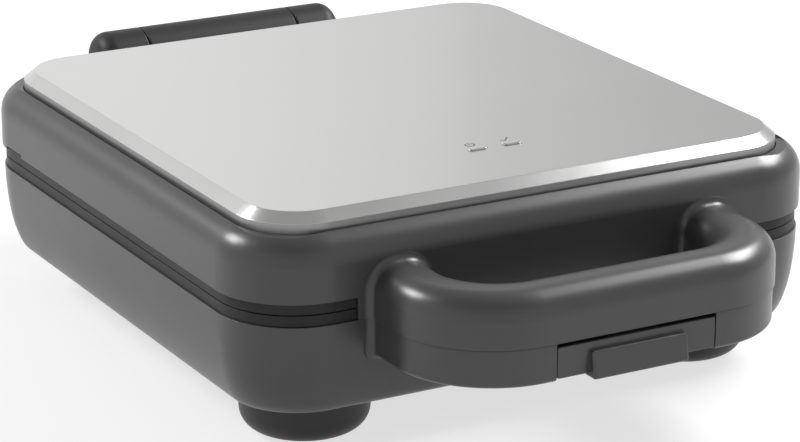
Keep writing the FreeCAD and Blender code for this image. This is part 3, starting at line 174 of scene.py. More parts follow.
class StageSettings(bpy.types.PropertyGroup):
    """Camera, floor and lights."""

    azimuth: angle("Azimuth", "Turn of the camera round the object, from the front", -29.338)
    elevation: angle("Elevation", "Height of the camera above the horizon", 18.444)
    roll: angle("Roll", "Turn of the camera about its own axis", 0.09)
    distance: length("Distance", "From the point looked at to the camera", 1467.6)
    target_x: length("Target X", "Point looked at, to the right of the middle", 20.2)
    target_y: length("Target Y", "Point looked at, behind the middle", 8.6)
    target_z: length("Target Z", "Point looked at, above the floor", 42.1)
    focal: FloatProperty(
        name="Focal length", description="Lens of the camera", subtype="DISTANCE_CAMERA", unit="CAMERA",
        default=143.87,
    )
    shift_x: FloatProperty(name="Shift X", description="Sideways shift of the picture", default=-0.0346)
    shift_y: FloatProperty(name="Shift Y", description="Upward shift of the picture", default=0.0016)
    floor_size: length("Floor", "Side of the floor", 8000.0)
    floor_glow: share("Floor glow", "Share of plain white in the floor as the camera sees it", 0.7)
    ambient: strength("Ambient", "Light from all round", 0.36)
    ceiling: share("Ceiling", "Brightness of the studio's ceiling in reflections", 0.45)
    wall_top: share("Wall top", "Sine of the height at which the white wall ends", 0.36)
    ceiling_edge: share("Ceiling edge", "Sine of the height at which the ceiling begins", 0.78)
    right_wall: share("Right wall", "Brightness of the studio's right side in reflections", 0.62)
    wall_start: share("Right wall start", "How far to the right the white wall begins to dim", 0.40)
    wall_end: share("Right wall end", "How far to the right the dimmer wall begins", 0.56)
    left: strength("Left", "Watts of the light behind left", 19.0)
    right: strength("Right", "Watts of the light at the right", 38.0)
    back: strength("Back", "Watts of the light mirrored in the cover", 0.05)


def settings():
    """The add-on's settings in the present scene."""
    return bpy.context.scene.sandwich_maker


# Shader nodes

def add_node(tree, kind, values=None, **attributes):
    """New node with its attributes and the values of named inputs."""
    node = tree.nodes.new(kind)
    for name, value in attributes.items():
        setattr(node, name, value)
    for name, value in (values or {}).items():
        node.inputs[name].default_value = value
    return node


def join(tree, source, output, target, name):
    """Link from one node's output to another's input."""
    tree.links.new(source.outputs[output], target.inputs[name])


def new_group(name, inputs, outputs):
    """Shader node group with float inputs, and its tree's input and output nodes."""
    tree = bpy.data.node_groups.new(name, "ShaderNodeTree")
    for label, default in inputs:
        socket = tree.interface.new_socket(name=label, in_out="INPUT", socket_type="NodeSocketFloat")
        socket.default_value = default
    for label, kind in outputs:
        tree.interface.new_socket(name=label, in_out="OUTPUT", socket_type=kind)
    return tree, tree.nodes.new("NodeGroupInput"), tree.nodes.new("NodeGroupOutput")


def noise(tree, place, size_node, size_socket, detail):
    """Noise texture whose cells have the length that a socket gives."""
    scale = add_node(tree, "ShaderNodeMath", {0: 1.0}, operation="DIVIDE")
    join(tree, size_node, size_socket, scale, 1)
    texture = add_node(tree, "ShaderNodeTexNoise", {"Detail": detail})
    join(tree, place, "Object", texture, "Vector")
    join(tree, scale, "Value", texture, "Scale")
    return texture


def grain_group():
    """Fine moulded grain, and a slow cloud of tone over the whole piece."""
    tree, entry, exit_node = new_group(
        "Moulded grain",
        [("Grain size", 0.5 * MM), ("Cloud size", 60 * MM)],
        [("Height", "NodeSocketFloat"), ("Cloud", "NodeSocketFloat")],
    )
    place = tree.nodes.new("ShaderNodeTexCoord")
    fine = noise(tree, place, entry, "Grain size", 2.0)
    join(tree, fine, "Fac", exit_node, "Height")
    slow = noise(tree, place, entry, "Cloud size", 3.0)
    level = add_node(tree, "ShaderNodeMapRange", {"From Min": 0.3, "From Max": 0.7})
    join(tree, slow, "Fac", level, "Value")
    join(tree, level, "Result", exit_node, "Cloud")
    return tree


def streak_group():
    """Fine streaks along X, as rolling or brushing leaves them."""
    tree, entry, exit_node = new_group(
        "Rolled streaks",
        [("Streak width", 0.3 * MM), ("Stretch", 60.0)],
        [("Height", "NodeSocketFloat"), ("Tone", "NodeSocketFloat")],
    )
    place = tree.nodes.new("ShaderNodeTexCoord")
    split = tree.nodes.new("ShaderNodeSeparateXYZ")
    join(tree, place, "Object", split, "Vector")
    long_way = add_node(tree, "ShaderNodeMath", operation="DIVIDE")
    join(tree, split, "X", long_way, 0)
    join(tree, entry, "Stretch", long_way, 1)
    merged = tree.nodes.new("ShaderNodeCombineXYZ")
    join(tree, long_way, "Value", merged, "X")
    join(tree, split, "Y", merged, "Y")
    join(tree, split, "Z", merged, "Z")
    scale = add_node(tree, "ShaderNodeMath", {0: 1.0}, operation="DIVIDE")
    join(tree, entry, "Streak width", scale, 1)
    texture = add_node(tree, "ShaderNodeTexNoise", {"Detail": 3.0})
    join(tree, merged, "Vector", texture, "Vector")
    join(tree, scale, "Value", texture, "Scale")
    join(tree, texture, "Fac", exit_node, "Height")
    level = add_node(tree, "ShaderNodeMapRange", {"From Min": 0.25, "From Max": 0.75})
    join(tree, texture, "Fac", level, "Value")
    join(tree, level, "Result", exit_node, "Tone")
    return tree


def edge_group():
    """Rounded normal along sharp edges, and a mask of those edges."""
    tree, entry, exit_node = new_group(
        "Rounded edges", [("Radius", 0.4 * MM)], [("Normal", "NodeSocketVector"), ("Edge", "NodeSocketFloat")]
    )
    rounded = add_node(tree, "ShaderNodeBevel", samples=6)
    join(tree, entry, "Radius", rounded, "Radius")
    join(tree, rounded, "Normal", exit_node, "Normal")
    plain = tree.nodes.new("ShaderNodeNewGeometry")
    turn = add_node(tree, "ShaderNodeVectorMath", operation="DOT_PRODUCT")
    join(tree, rounded, "Normal", turn, 0)
    join(tree, plain, "Normal", turn, 1)
    level = add_node(tree, "ShaderNodeMapRange", {"From Min": 1.0, "From Max": 0.7})
    join(tree, turn, "Value", level, "Value")
    join(tree, level, "Result", exit_node, "Edge")
    return tree


GROUPS = {"Moulded grain": grain_group, "Rolled streaks": streak_group, "Rounded edges": edge_group}


def place_group(tree, name, values):
    """Shared node group in a material, built at its first use."""
    made = bpy.data.node_groups.get(name) or GROUPS[name]()
    return add_node(tree, "ShaderNodeGroup", values, node_tree=made)


def new_material(name):
    """Material with its Principled shader."""
    material = bpy.data.materials.new(name)
    material.use_nodes = True
    return material, material.node_tree, material.node_tree.nodes["Principled BSDF"]


def set_inputs(shader, values):
    """Constant values set on the shader's own sockets."""
    for name, value in values.items():
        shader.inputs[name].default_value = value


def opaque(value):
    """Colour with full alpha."""
    return (value[0], value[1], value[2], 1.0)


def tone_mix(tree, low, high, source, output):
    """Colour between two tones, by a mask."""
    mix = add_node(tree, "ShaderNodeMix", data_type="RGBA")
    mix.inputs[MIX_FIRST].default_value = opaque(low)
    mix.inputs[MIX_SECOND].default_value = opaque(high)
    join(tree, source, output, mix, 0)
    return mix


def scaled(value, factor):
    """Colour made lighter or darker."""
    return [min(1.0, part * factor) for part in value]


def bump_into(tree, shader, source, output, depth, strength, normal=None):
    """Relief of a height output on the shader's normal."""
    bump = add_node(tree, "ShaderNodeBump", {"Strength": strength, "Distance": depth})
    join(tree, source, output, bump, "Height")
    if normal is not None:
        join(tree, normal, "Normal", bump, "Normal")
    join(tree, bump, "Normal", shader, "Normal")


def gloss_into(tree, shader, source, output, rough):
    """Roughness between two values, by a mask."""
    gloss = add_node(tree, "ShaderNodeMapRange", {"To Min": rough[0], "To Max": rough[1]})
    join(tree, source, output, gloss, "Value")
    join(tree, gloss, "Result", shader, "Roughness")


def moulded_plastic(name, base, rough, specular, depth):
    """Satin moulded plastic: clouded tone and gloss, fine grain, rounded and slightly polished edges."""
    finish = settings().finish
    material, tree, shader = new_material(name)
    set_inputs(shader, {"Specular IOR Level": specular, "IOR": 1.5})
    grain = place_group(tree, "Moulded grain", {"Grain size": finish.grain, "Cloud size": 55 * MM})
    edge = place_group(tree, "Rounded edges", {"Radius": finish.edge_round})
    tone = tone_mix(tree, scaled(base, 0.96), scaled(base, 1.04), grain, "Cloud")
    worn = tone_mix(tree, base, scaled(base, 1.35), edge, "Edge")
    join(tree, tone, MIX_RESULT, worn, MIX_FIRST)
    join(tree, worn, MIX_RESULT, shader, "Base Color")
    gloss_into(tree, shader, grain, "Cloud", rough)
    bump_into(tree, shader, grain, "Height", depth, 0.5, edge)
    return material


def charcoal_plastic():
    """Lid, base, handle and latch."""
    base = settings().finish.charcoal
    return moulded_plastic("Charcoal plastic", base, rough=(0.30, 0.34), specular=0.5, depth=0.02 * MM)


def black_plastic():
    """Plate frames, hinge and covers."""
    base = settings().finish.black
    return moulded_plastic("Black plastic", base, rough=(0.46, 0.52), specular=0.25, depth=0.02 * MM)


def foot_plastic():
    """Feet."""
    base = settings().finish.foot
    return moulded_plastic("Foot plastic", base, rough=(0.42, 0.50), specular=0.4, depth=0.02 * MM)


def tread_rubber():
    """Treads and gland."""
    base = settings().finish.rubber
    return moulded_plastic("Tread rubber", base, rough=(0.66, 0.78), specular=0.3, depth=0.03 * MM)


def terminal_plastic():
    """Terminal block."""
    base = settings().finish.terminal
    return moulded_plastic("Terminal plastic", base, rough=(0.30, 0.40), specular=0.5, depth=0.01 * MM)


def silver_cover():
    """Satin metal sheet with a very fine even grain, rougher on its upright sides, where a darker colour is
    painted shade.
    """
    finish = settings().finish
    material, tree, shader = new_material("Silver cover")
    set_inputs(shader, {"Metallic": 1.0})
    grain = place_group(tree, "Moulded grain", {"Grain size": 0.25 * MM, "Cloud size": 90 * MM})
    edge = place_group(tree, "Rounded edges", {"Radius": 0.6 * MM})
    tone = tone_mix(tree, scaled(finish.silver, 0.985), scaled(finish.silver, 1.015), grain, "Cloud")
    place = tree.nodes.new("ShaderNodeTexCoord")
    split = tree.nodes.new("ShaderNodeSeparateXYZ")
    join(tree, place, "Normal", split, "Vector")
    side = add_node(tree, "ShaderNodeMapRange", {"From Min": 0.4, "From Max": 0.2})
    join(tree, split, "Z", side, "Value")
    # Upright sides get a darker base colour: painted shade.
    painted_side_shade = tone_mix(tree, finish.silver, scaled(finish.silver, SIDE_SHADE), side, "Result")
    join(tree, tone, MIX_RESULT, painted_side_shade, MIX_FIRST)
    join(tree, painted_side_shade, MIX_RESULT, shader, "Base Color")
    gloss = add_node(tree, "ShaderNodeMapRange", {"To Min": SILVER_ROUGH[0], "To Max": SILVER_ROUGH[1]})
    join(tree, grain, "Cloud", gloss, "Value")
    rough = add_node(tree, "ShaderNodeMath", {1: SIDE_ROUGH}, operation="MULTIPLY_ADD")
    join(tree, side, "Result", rough, 0)
    join(tree, gloss, "Result", rough, 2)
    join(tree, rough, "Value", shader, "Roughness")
    bump_into(tree, shader, grain, "Height", 0.01 * MM, 0.35, edge)
    return material


def non_stick_coat():
    """Dark sprayed coat on cast aluminium, with a fine orange-peel relief and pale flecks."""
    finish = settings().finish
    material, tree, shader = new_material("Non-stick coat")
    set_inputs(shader, {"Specular IOR Level": 0.5})
    grain = place_group(tree, "Moulded grain", {"Grain size": 1.1 * MM, "Cloud size": 40 * MM})
    place = tree.nodes.new("ShaderNodeTexCoord")
    cells = add_node(tree, "ShaderNodeTexVoronoi", {"Scale": 900.0, "Randomness": 1.0})
    join(tree, place, "Object", cells, "Vector")
    fleck = add_node(tree, "ShaderNodeMapRange", {"From Min": 0.16, "From Max": 0.08})
    join(tree, cells, "Distance", fleck, "Value")
    tone = tone_mix(tree, finish.non_stick, scaled(finish.non_stick, 3.2), fleck, "Result")
    join(tree, tone, MIX_RESULT, shader, "Base Color")
    gloss_into(tree, shader, grain, "Cloud", (0.34, 0.46))
    bump_into(tree, shader, grain, "Height", 0.03 * MM, 0.5)
    return material


def streaked_metal(name, base, rough, width):
    """Metal with rolled or drawn streaks."""
    material, tree, shader = new_material(name)
    set_inputs(shader, {"Metallic": 1.0})
    streak = place_group(tree, "Rolled streaks", {"Streak width": width, "Stretch": 40.0})
    tone = tone_mix(tree, scaled(base, 0.9), scaled(base, 1.06), streak, "Tone")
    join(tree, tone, MIX_RESULT, shader, "Base Color")
    gloss_into(tree, shader, streak, "Tone", rough)
    bump_into(tree, shader, streak, "Height", 0.01 * MM, 0.3)
    return material


def bright_sheet():
    """Reflectors, clamps and fuse."""
    return streaked_metal("Bright sheet", settings().finish.bright_sheet, rough=(0.18, 0.30), width=0.35 * MM)


def plated_steel():
    """Pins, springs, screws and heaters."""
    return streaked_metal("Plated steel", settings().finish.steel, rough=(0.26, 0.38), width=0.2 * MM)


def lens_plastic():
    """Translucent lens with a frosted inside."""
    finish = settings().finish
    material, tree, shader = new_material("Lens plastic")
    set_inputs(shader, {"Specular IOR Level": 0.6, "Subsurface Weight": 0.2, "Subsurface Scale": 1.0 * MM})
    set_inputs(shader, {"Coat Weight": 0.6, "Coat Roughness": 0.05})
    grain = place_group(tree, "Moulded grain", {"Grain size": 0.5 * MM, "Cloud size": 4 * MM})
    tone = tone_mix(tree, scaled(finish.lens, 0.9), scaled(finish.lens, 1.08), grain, "Cloud")
    join(tree, tone, MIX_RESULT, shader, "Base Color")
    gloss_into(tree, shader, grain, "Cloud", (0.12, 0.2))
    return material


def lamp_glass():
    """Small glass bulbs under the lenses."""
    material, tree, shader = new_material("Lamp glass")
    set_inputs(shader, {"Transmission Weight": 1.0, "IOR": 1.47})
    grain = place_group(tree, "Moulded grain", {"Grain size": 1.0 * MM, "Cloud size": 3 * MM})
    tone = tone_mix(tree, *GLASS_TONES, grain, "Cloud")
    join(tree, tone, MIX_RESULT, shader, "Base Color")
    gloss_into(tree, shader, grain, "Cloud", (0.03, 0.08))
    return material


def printed_ink():
    """Thin dark print, a little patchy."""
    finish = settings().finish
    material, tree, shader = new_material("Printed ink")
    grain = place_group(tree, "Moulded grain", {"Grain size": 0.15 * MM, "Cloud size": 0.5 * MM})
    tone = tone_mix(tree, scaled(finish.print_ink, 0.85), scaled(finish.print_ink, 1.3), grain, "Cloud")
    join(tree, tone, MIX_RESULT, shader, "Base Color")
    gloss_into(tree, shader, grain, "Cloud", (0.4, 0.55))
    return material


MATERIALS = {
    "charcoal_plastic": charcoal_plastic,
    "black_plastic": black_plastic,
    "foot_plastic": foot_plastic,
    "tread_rubber": tread_rubber,
    "terminal_plastic": terminal_plastic,
    "silver_cover": silver_cover,
    "non_stick": non_stick_coat,
    "bright_sheet": bright_sheet,
    "steel": plated_steel,
    "lens_plastic": lens_plastic,
    "lamp_glass": lamp_glass,
    "printed_ink": printed_ink,
}
MADE = {}


def finish_of(slot):
    """Material of a slot, made once."""
    if slot not in MADE:
        MADE[slot] = MATERIALS[slot]()
    return MADE[slot]


def dress(slot, *names):
    """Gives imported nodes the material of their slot."""
    for name in names:
        mesh = NODES[name].data
        mesh.materials.clear()
        mesh.materials.append(finish_of(slot))


# Meshes

def turned(profile, count, thread=None):
    """Points and faces of a profile of radius and height turned about Z, with a thread cut in if given."""
    points = []
    for radius, height in profile:
        for step in range(count):
            around = 2 * math.pi * step / count
            wide = radius if thread is None else thread(radius, height, step / count)
            points.append((wide * math.cos(around), wide * math.sin(around), height))
    faces = []
    for ring in range(len(profile) - 1):
        for step in range(count):
            following = (step + 1) % count
            low, high = ring * count, (ring + 1) * count
            faces.append((low + step, low + following, high + following, high + step))
    return points, faces


def new_piece(name, points, faces, slot):
    """Object of a closed mesh with its finish, smooth apart from its sharp edges."""
    shape = bmesh.new()
    corners = [shape.verts.new(point) for point in points]
    for face in faces:
        shape.faces.new([corners[index] for index in face])
    bmesh.ops.remove_doubles(shape, verts=shape.verts, dist=0.001 * MM)
    bmesh.ops.recalc_face_normals(shape, faces=shape.faces)
    mesh = bpy.data.meshes.new(name)
    shape.to_mesh(mesh)
    shape.free()
    mesh.shade_smooth()
    mesh.set_sharp_from_angle(angle=math.radians(SHARP_DEGREES))
    mesh.materials.append(finish_of(slot))
    piece = bpy.data.objects.new(name, mesh)
    bpy.context.scene.collection.objects.link(piece)
    return piece


def gather(parts):
    """Points and faces of several parts as one."""
    points, faces = [], []
    for part_points, part_faces in parts:
        start = len(points)
        points += part_points
        faces += [tuple(start + index for index in face) for face in part_faces]
    return points, faces


def moved(part, offset):
    """Part shifted by an offset."""
    points, faces = part
    return [tuple(Vector(point) + offset) for point in points], faces


def cross_outline(reach, wide):
    """Corners of a cross, clockwise."""
    return [
        (wide, reach), (wide, wide), (reach, wide), (reach, -wide), (wide, -wide), (wide, -reach),
        (-wide, -reach), (-wide, -wide), (-reach, -wide), (-reach, wide), (-wide, wide), (-wide, reach),
    ]


def thread_of(screws, low, high):
    """Radius of a threaded shank between two heights, at a share of a turn."""
    root = 1.0 - screws.thread_depth

    def thread(radius, height, turn):
        if height <= low or height >= high:
            return radius
        wave = (height / screws.pitch - turn) % 1.0
        crest = max(0.0, 1.0 - abs(wave - 0.5) * 3.0)
        return radius * (root + screws.thread_depth * crest)

    return thread


def crossed_face(ring, outline, reach, wide):
    """Flat face at zero inside a ring of points, with a cross left out."""
    edges = []
    for start, loop in ((0, ring), (len(ring), outline)):
        edges += [(start + step, start + (step + 1) % len(loop)) for step in range(len(loop))]
    flat = [Vector(spot) for spot in ring + outline]
    spots, _, triangles = delaunay_2d_cdt(flat, edges, [], 1, 1e-9)[:3]
    faces = []
    for triangle in triangles:
        middle = sum((spots[index] for index in triangle), Vector((0.0, 0.0))) / 3
        near, far = sorted((abs(middle.x), abs(middle.y)))
        if near > wide or far > reach:
            faces.append(tuple(triangle))
    return [(spot.x, spot.y, 0.0) for spot in spots], faces


def cross_pit(outline, depth, taper):
    """Sides and floor of a cross that narrows downward from zero."""
    count = len(outline)
    points = [(x, y, 0.0) for x, y in outline]
    points += [(x * taper, y * taper, depth) for x, y in outline]
    faces = []
    for step in range(count):
        following = (step + 1) % count
        faces.append((step, following, count + following, count + step))
    for arm in ((0, 1, 10, 11), (1, 2, 3, 4), (4, 5, 6, 7), (7, 8, 9, 10), (1, 4, 7, 10)):
        faces.append(tuple(count + index for index in arm))
    return points, faces


def screw_part(screws, tall):
    """Screw with its head's face down at zero: rounded rim, tapered cross, threaded shank and point."""
    count, steps_per_turn = 48, 6
    head, seat = screws.head, screws.head_height
    body = [(head - screws.rim, 0.0), (head - screws.rim_step, screws.rim_step), (head, screws.rim)]
    body += [(head, seat), (screws.shank, seat)]
    point = tall - screws.point
    rings = int((point - seat) / (screws.pitch / steps_per_turn))
    for ring in range(1, rings + 1):
        body.append((screws.shank, seat + (point - seat) * ring / rings))
    body.append((screws.tip, tall))
    points, faces = turned(body, count, thread_of(screws, seat, point))
    faces.append(tuple(range(len(points) - count, len(points))))
    reach, wide = screws.recess * head, screws.recess_width * head
    outline = cross_outline(reach, wide)
    ring = [(x, y) for x, y, z in points[:count]]
    face = crossed_face(ring, outline, reach, wide)
    pit = cross_pit(outline, screws.recess_depth, screws.recess_taper)
    return gather([(points, faces), face, pit])


def tread_part(tread, radius, tall):
    """Disc with ring grooves and a bevelled edge in its lower face."""
    profile = [(0.0, 0.0)]
    groove = tread.first
    slope = tread.groove * tread.groove_slope
    while groove + tread.groove < radius - tread.edge:
        far = groove + tread.groove
        profile += [(groove, 0.0), (groove + slope, tread.groove_depth)]
        profile += [(far - slope, tread.groove_depth), (far, 0.0)]
        groove += tread.pitch
    profile += [(radius - tread.edge, 0.0), (radius, tread.edge), (radius, tall), (0.0, tall)]
    return turned(profile, 64)


def ribbon(line, stroke, thickness):
    """Flat printed line of even width along points in a plane."""
    last = len(line) - 1
    points = []
    for index, spot in enumerate(line):
        along = Vector(line[min(index + 1, last)]) - Vector(line[max(index - 1, 0)])
        across = Vector((-along.y, along.x)).normalized() * stroke / 2
        for side in (Vector(spot) + across, Vector(spot) - across):
            points += [(side.x, side.y, 0.0), (side.x, side.y, thickness)]
    faces = [(0, 2, 3, 1), tuple(4 * last + corner for corner in (0, 1, 3, 2))]
    for one in range(0, 4 * last, 4):
        other = one + 4
        faces += [
            (one + 1, one + 3, other + 3, other + 1), (one, other, other + 2, one + 2),
            (one, one + 1, other + 1, other), (one + 2, other + 2, other + 3, one + 3),
        ]
    return points, faces


# Operators

class SANDWICH_OT_shells(bpy.types.Operator):
    """Finish the lid's and the base's shells."""

    bl_idname = "sandwich.shells"
    bl_label = "Shells"

    def execute(self, context):
        dress("charcoal_plastic", "lid_housing", "base_housing")
        dress("black_plastic", "bottom_cover")
        dress("tread_rubber", "cord_gland")
        return {"FINISHED"}


class SANDWICH_OT_cover(bpy.types.Operator):
    """Finish the metal cover and its two lights."""

    bl_idname = "sandwich.cover"
    bl_label = "Top cover and lights"

    def execute(self, context):
        dress("silver_cover", "top_cover")
        dress("lens_plastic", "power_light_lens", "ready_light_lens")
        dress("lamp_glass", "power_lamp", "ready_lamp")
        dress("black_plastic", "lamp_holder")
        return {"FINISHED"}


class SANDWICH_OT_handle(bpy.types.Operator):
    """Finish both halves of the handle, and the latch in it."""

    bl_idname = "sandwich.handle"
    bl_label = "Handle and latch"

    def execute(self, context):
        dress("charcoal_plastic", "upper_handle", "lower_handle", "latch")
        dress("black_plastic", "upper_handle_cover", "lower_handle_cover")
        dress("steel", "latch_pin", "latch_spring", "latch_keeper")
        return {"FINISHED"}


class SANDWICH_OT_hinge(bpy.types.Operator):
    """Finish the hinge."""

    bl_idname = "sandwich.hinge"
    bl_label = "Hinge"

    def execute(self, context):
        dress("black_plastic", "hinge_post_left", "hinge_post_right", "hinge_knuckle")
        dress("steel", "hinge_pin")
        return {"FINISHED"}


class SANDWICH_OT_plates(bpy.types.Operator):
    """Finish the cooking plates, their frames and what heats them."""

    bl_idname = "sandwich.plates"
    bl_label = "Plates and heaters"

    def execute(self, context):
        for level in ("lower", "upper"):
            dress("black_plastic", f"{level}_plate_frame")
            dress("non_stick", f"{level}_cooking_plate")
            dress("steel", f"{level}_heater")
            dress("bright_sheet", f"{level}_heater_clamps", f"{level}_reflector")
        dress("steel", "thermostat")
        dress("bright_sheet", "thermal_fuse")
        dress("terminal_plastic", "terminal_block")
        return {"FINISHED"}


class SANDWICH_OT_feet(bpy.types.Operator):
    """Finish the feet, and make their ringed treads."""

    bl_idname = "sandwich.feet"
    bl_label = "Feet"

    def execute(self, context):
        tread = settings().tread
        for spot in FOOT_SPOTS:
            dress("foot_plastic", f"foot_{spot}")
            low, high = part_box(f"foot_tread_{spot}")
            middle = Vector(((low.x + high.x) / 2, (low.y + high.y) / 2, low.z))
            part = moved(tread_part(tread, (high.x - low.x) / 2, high.z - low.z), middle)
            piece = new_piece(f"ringed_tread_{spot}", *part, "tread_rubber")
            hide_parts(f"foot_tread_{spot}")
            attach(piece, "base")
        return {"FINISHED"}


class SANDWICH_OT_screws(bpy.types.Operator):
    """Make the four screws of the bottom cover, and finish those inside."""

    bl_idname = "sandwich.screws"
    bl_label = "Screws"

    def execute(self, context):
        screws = settings().screws
        for place in ("upper_handle", "lower_handle", "hinge_post", "hinge_knuckle"):
            dress("steel", f"{place}_screws")
        low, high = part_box("bottom_cover_screws")
        middle = (low + high) / 2
        spots = [
            (low.x + screws.head, middle.y), (high.x - screws.head, middle.y),
            (middle.x, low.y + screws.head), (middle.x, high.y - screws.head),
        ]
        part = screw_part(screws, high.z - low.z)
        parts = [moved(part, Vector((x, y, low.z))) for x, y in spots]
        piece = new_piece("cross_head_screws", *gather(parts), "steel")
        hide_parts("bottom_cover_screws")
        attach(piece, "base")
        return {"FINISHED"}


class SANDWICH_OT_marks(bpy.types.Operator):
    """Print a ring with a bar behind the power light, and a tick behind the ready light."""

    bl_idname = "sandwich.marks"
    bl_label = "Printed marks"

    def execute(self, context):
        marks = settings().marks
        half = marks.size / 2
        radius, gap, step = 0.8 * half, 35, 10
        arc = [math.radians(degrees) for degrees in range(90 + gap, 450 - gap + 1, step)]
        ring = [(radius * math.cos(turn), radius * math.sin(turn)) for turn in arc]
        bar = [(0.0, 0.05 * half), (0.0, half)]
        tick = [(-0.9 * half, 0.0), (-0.25 * half, -0.7 * half), (half, 0.8 * half)]
        drawn = {"power": (ring, bar), "ready": (tick,)}
        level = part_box("top_cover")[1].z - marks.sink
        for name, lines in drawn.items():
            low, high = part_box(f"{name}_light_lens")
            middle = Vector(((low.x + high.x) / 2, high.y + marks.lead - half, level))
            parts = [moved(ribbon(line, marks.stroke, marks.thickness), middle) for line in lines]
            piece = new_piece(f"{name}_mark", *gather(parts), "printed_ink")
            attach(piece, "lid")
        return {"FINISHED"}


# Stage

def floor_material(stage):
    """Pale floor: white to the camera and in reflections, keeping the shadow, and clear from below."""
    material, tree, shader = new_material("Pale floor")
    out = tree.nodes["Material Output"]
    place = tree.nodes.new("ShaderNodeTexCoord")
    cloud = add_node(tree, "ShaderNodeTexNoise", {"Scale": 1.5, "Detail": 2.0})
    join(tree, place, "Object", cloud, "Vector")
    tone = tone_mix(tree, *FLOOR_TONES, cloud, "Fac")
    join(tree, tone, MIX_RESULT, shader, "Base Color")
    set_inputs(shader, {"Roughness": 0.9, "Specular IOR Level": 0.1})
    glow = add_node(tree, "ShaderNodeEmission", {"Color": (1.0, 1.0, 1.0, 1.0), "Strength": 1.0})
    path = tree.nodes.new("ShaderNodeLightPath")
    seen = add_node(tree, "ShaderNodeMath", operation="MAXIMUM")
    join(tree, path, "Is Camera Ray", seen, 0)
    join(tree, path, "Is Glossy Ray", seen, 1)
    through = add_node(tree, "ShaderNodeMath", operation="MAXIMUM")
    join(tree, seen, "Value", through, 0)
    join(tree, path, "Is Transmission Ray", through, 1)
    part = add_node(tree, "ShaderNodeMath", {1: stage.floor_glow}, operation="MULTIPLY")
    join(tree, through, "Value", part, 0)
    lit = tree.nodes.new("ShaderNodeMixShader")
    join(tree, part, "Value", lit, 0)
    join(tree, shader, "BSDF", lit, 1)
    join(tree, glow, "Emission", lit, 2)
    sides = tree.nodes.new("ShaderNodeNewGeometry")
    below = add_node(tree, "ShaderNodeMath", operation="MULTIPLY")
    join(tree, sides, "Backfacing", below, 0)
    join(tree, path, "Is Camera Ray", below, 1)
    clear = tree.nodes.new("ShaderNodeBsdfTransparent")
    shown = tree.nodes.new("ShaderNodeMixShader")
    join(tree, below, "Value", shown, 0)
    join(tree, lit, "Shader", shown, 1)
    join(tree, clear, "BSDF", shown, 2)
    join(tree, shown, "Shader", out, "Surface")
    return material


def white_world(stage):
    """White for the camera and at the reflected horizon, a dimmer ceiling, and a plain level of light."""
    world = bpy.data.worlds.new("White studio")
    world.use_nodes = True
    tree = world.node_tree
    back = tree.nodes["Background"]
    back.inputs["Color"].default_value = (1.0, 1.0, 1.0, 1.0)
    place = tree.nodes.new("ShaderNodeTexCoord")
    split = tree.nodes.new("ShaderNodeSeparateXYZ")
    join(tree, place, "Generated", split, "Vector")
    sky = add_node(
        tree, "ShaderNodeMapRange",
        {"From Min": stage.wall_top, "From Max": stage.ceiling_edge, "To Min": 1.0, "To Max": stage.ceiling},
    )
    join(tree, split, "Z", sky, "Value")
    wall = add_node(
        tree, "ShaderNodeMapRange",
        {"From Min": stage.wall_start, "From Max": stage.wall_end, "To Min": 1.0, "To Max": stage.right_wall},
    )
    join(tree, split, "X", wall, "Value")
    room = add_node(tree, "ShaderNodeMath", operation="MULTIPLY")
    join(tree, sky, "Result", room, 0)
    join(tree, wall, "Result", room, 1)
    path = tree.nodes.new("ShaderNodeLightPath")
    mirrored = add_node(tree, "ShaderNodeMath", operation="MAXIMUM")
    join(tree, path, "Is Glossy Ray", mirrored, 0)
    join(tree, path, "Is Transmission Ray", mirrored, 1)
    level = add_node(tree, "ShaderNodeMapRange", {"To Min": stage.ambient})
    join(tree, mirrored, "Value", level, "Value")
    join(tree, room, "Value", level, "To Max")
    shown = add_node(tree, "ShaderNodeMath", operation="MAXIMUM")
    join(tree, level, "Result", shown, 0)
    join(tree, path, "Is Camera Ray", shown, 1)
    join(tree, shown, "Value", back, "Strength")
    bpy.context.scene.world = world


def soft_light(name, watts, place, size, target):
    """Rectangular soft light that faces the object."""
    lamp = bpy.data.lights.new(name, "AREA")
    lamp.shape = "RECTANGLE"
    lamp.size, lamp.size_y = size
    lamp.energy = watts
    thing = bpy.data.objects.new(name, lamp)
    bpy.context.scene.collection.objects.link(thing)
    thing.location = place
    thing.rotation_euler = (target - place).to_track_quat("-Z", "Y").to_euler()


def stage_camera(stage):
    """Camera at the viewing angle of the photograph."""
    data = bpy.data.cameras.new("Camera")
    data.lens = stage.focal
    data.sensor_width = SENSOR_WIDTH
    data.shift_x = stage.shift_x
    data.shift_y = stage.shift_y
    camera = bpy.data.objects.new("Camera", data)
    bpy.context.scene.collection.objects.link(camera)
    back = Vector((
        math.sin(stage.azimuth) * math.cos(stage.elevation),
        -math.cos(stage.azimuth) * math.cos(stage.elevation),
        math.sin(stage.elevation),
    ))
    target = Vector((stage.target_x, stage.target_y, stage.target_z))
    camera.location = target + back * stage.distance
    turn = (-back).to_track_quat("-Z", "Y").to_matrix() @ Matrix.Rotation(stage.roll, 3, "Z")
    camera.rotation_euler = turn.to_euler()
    bpy.context.scene.camera = camera


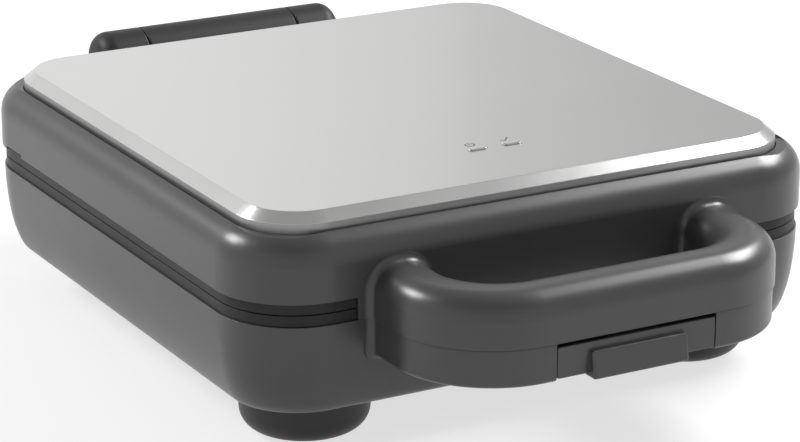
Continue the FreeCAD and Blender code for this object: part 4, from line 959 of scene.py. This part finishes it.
class SANDWICH_OT_stage(bpy.types.Operator):
    """Set up the camera, the floor and soft studio light."""

    bl_idname = "sandwich.stage"
    bl_label = "Stage"

    def execute(self, context):
        stage = settings().stage
        context.scene.view_settings.view_transform = "Standard"
        stage_camera(stage)
        half = stage.floor_size / 2
        mesh = bpy.data.meshes.new("floor")
        corners = [(-half, -half, 0.0), (half, -half, 0.0), (half, half, 0.0), (-half, half, 0.0)]
        mesh.from_pydata(corners, [], [(0, 1, 2, 3)])
        mesh.materials.append(floor_material(stage))
        floor = bpy.data.objects.new("floor", mesh)
        context.scene.collection.objects.link(floor)
        white_world(stage)
        middle = Vector((0.0, 0.0, CAD_HIGH.z / 2))
        soft_light("Left", stage.left, LEFT_PLACE, LEFT_SIZE, middle)
        soft_light("Right", stage.right, RIGHT_PLACE, RIGHT_SIZE, middle)
        soft_light("Back", stage.back, BACK_PLACE, BACK_SIZE, middle)
        return {"FINISHED"}


class SandwichSettings(bpy.types.PropertyGroup):
    """All settings of the add-on."""

    finish: PointerProperty(type=FinishSettings)
    marks: PointerProperty(type=MarkSettings)
    screws: PointerProperty(type=ScrewSettings)
    tread: PointerProperty(type=TreadSettings)
    stage: PointerProperty(type=StageSettings)


OPERATORS = (
    SANDWICH_OT_shells, SANDWICH_OT_cover, SANDWICH_OT_handle, SANDWICH_OT_hinge, SANDWICH_OT_plates,
    SANDWICH_OT_feet, SANDWICH_OT_screws, SANDWICH_OT_marks, SANDWICH_OT_stage,
)


class SANDWICH_PT_panel(bpy.types.Panel):
    """Lists the pieces and their settings."""

    bl_label = "Sandwich maker"
    bl_idname = "SANDWICH_PT_panel"
    bl_space_type = "VIEW_3D"
    bl_region_type = "UI"
    bl_category = "Sandwich maker"

    def draw(self, context):
        layout = self.layout
        for operator in OPERATORS:
            layout.operator(operator.bl_idname)
        chosen = context.scene.sandwich_maker
        for group in (chosen.finish, chosen.marks, chosen.screws, chosen.tread, chosen.stage):
            box = layout.box()
            for name in group.__annotations__:
                box.prop(group, name)


CLASSES = (
    FinishSettings, MarkSettings, ScrewSettings, TreadSettings, StageSettings, SandwichSettings, *OPERATORS,
    SANDWICH_PT_panel,
)


def register():
    """Adds the classes and the settings."""
    for kind in CLASSES:
        bpy.utils.register_class(kind)
    bpy.types.Scene.sandwich_maker = PointerProperty(type=SandwichSettings)


def unregister():
    """Takes the settings and the classes away again."""
    del bpy.types.Scene.sandwich_maker
    for kind in reversed(CLASSES):
        bpy.utils.unregister_class(kind)


def main():
    """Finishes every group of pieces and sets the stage."""
    register()
    bpy.ops.sandwich.shells()
    bpy.ops.sandwich.cover()
    bpy.ops.sandwich.handle()
    bpy.ops.sandwich.hinge()
    bpy.ops.sandwich.plates()
    bpy.ops.sandwich.feet()
    bpy.ops.sandwich.screws()
    bpy.ops.sandwich.marks()
    bpy.ops.sandwich.stage()


if __name__ == "__main__":
    main()
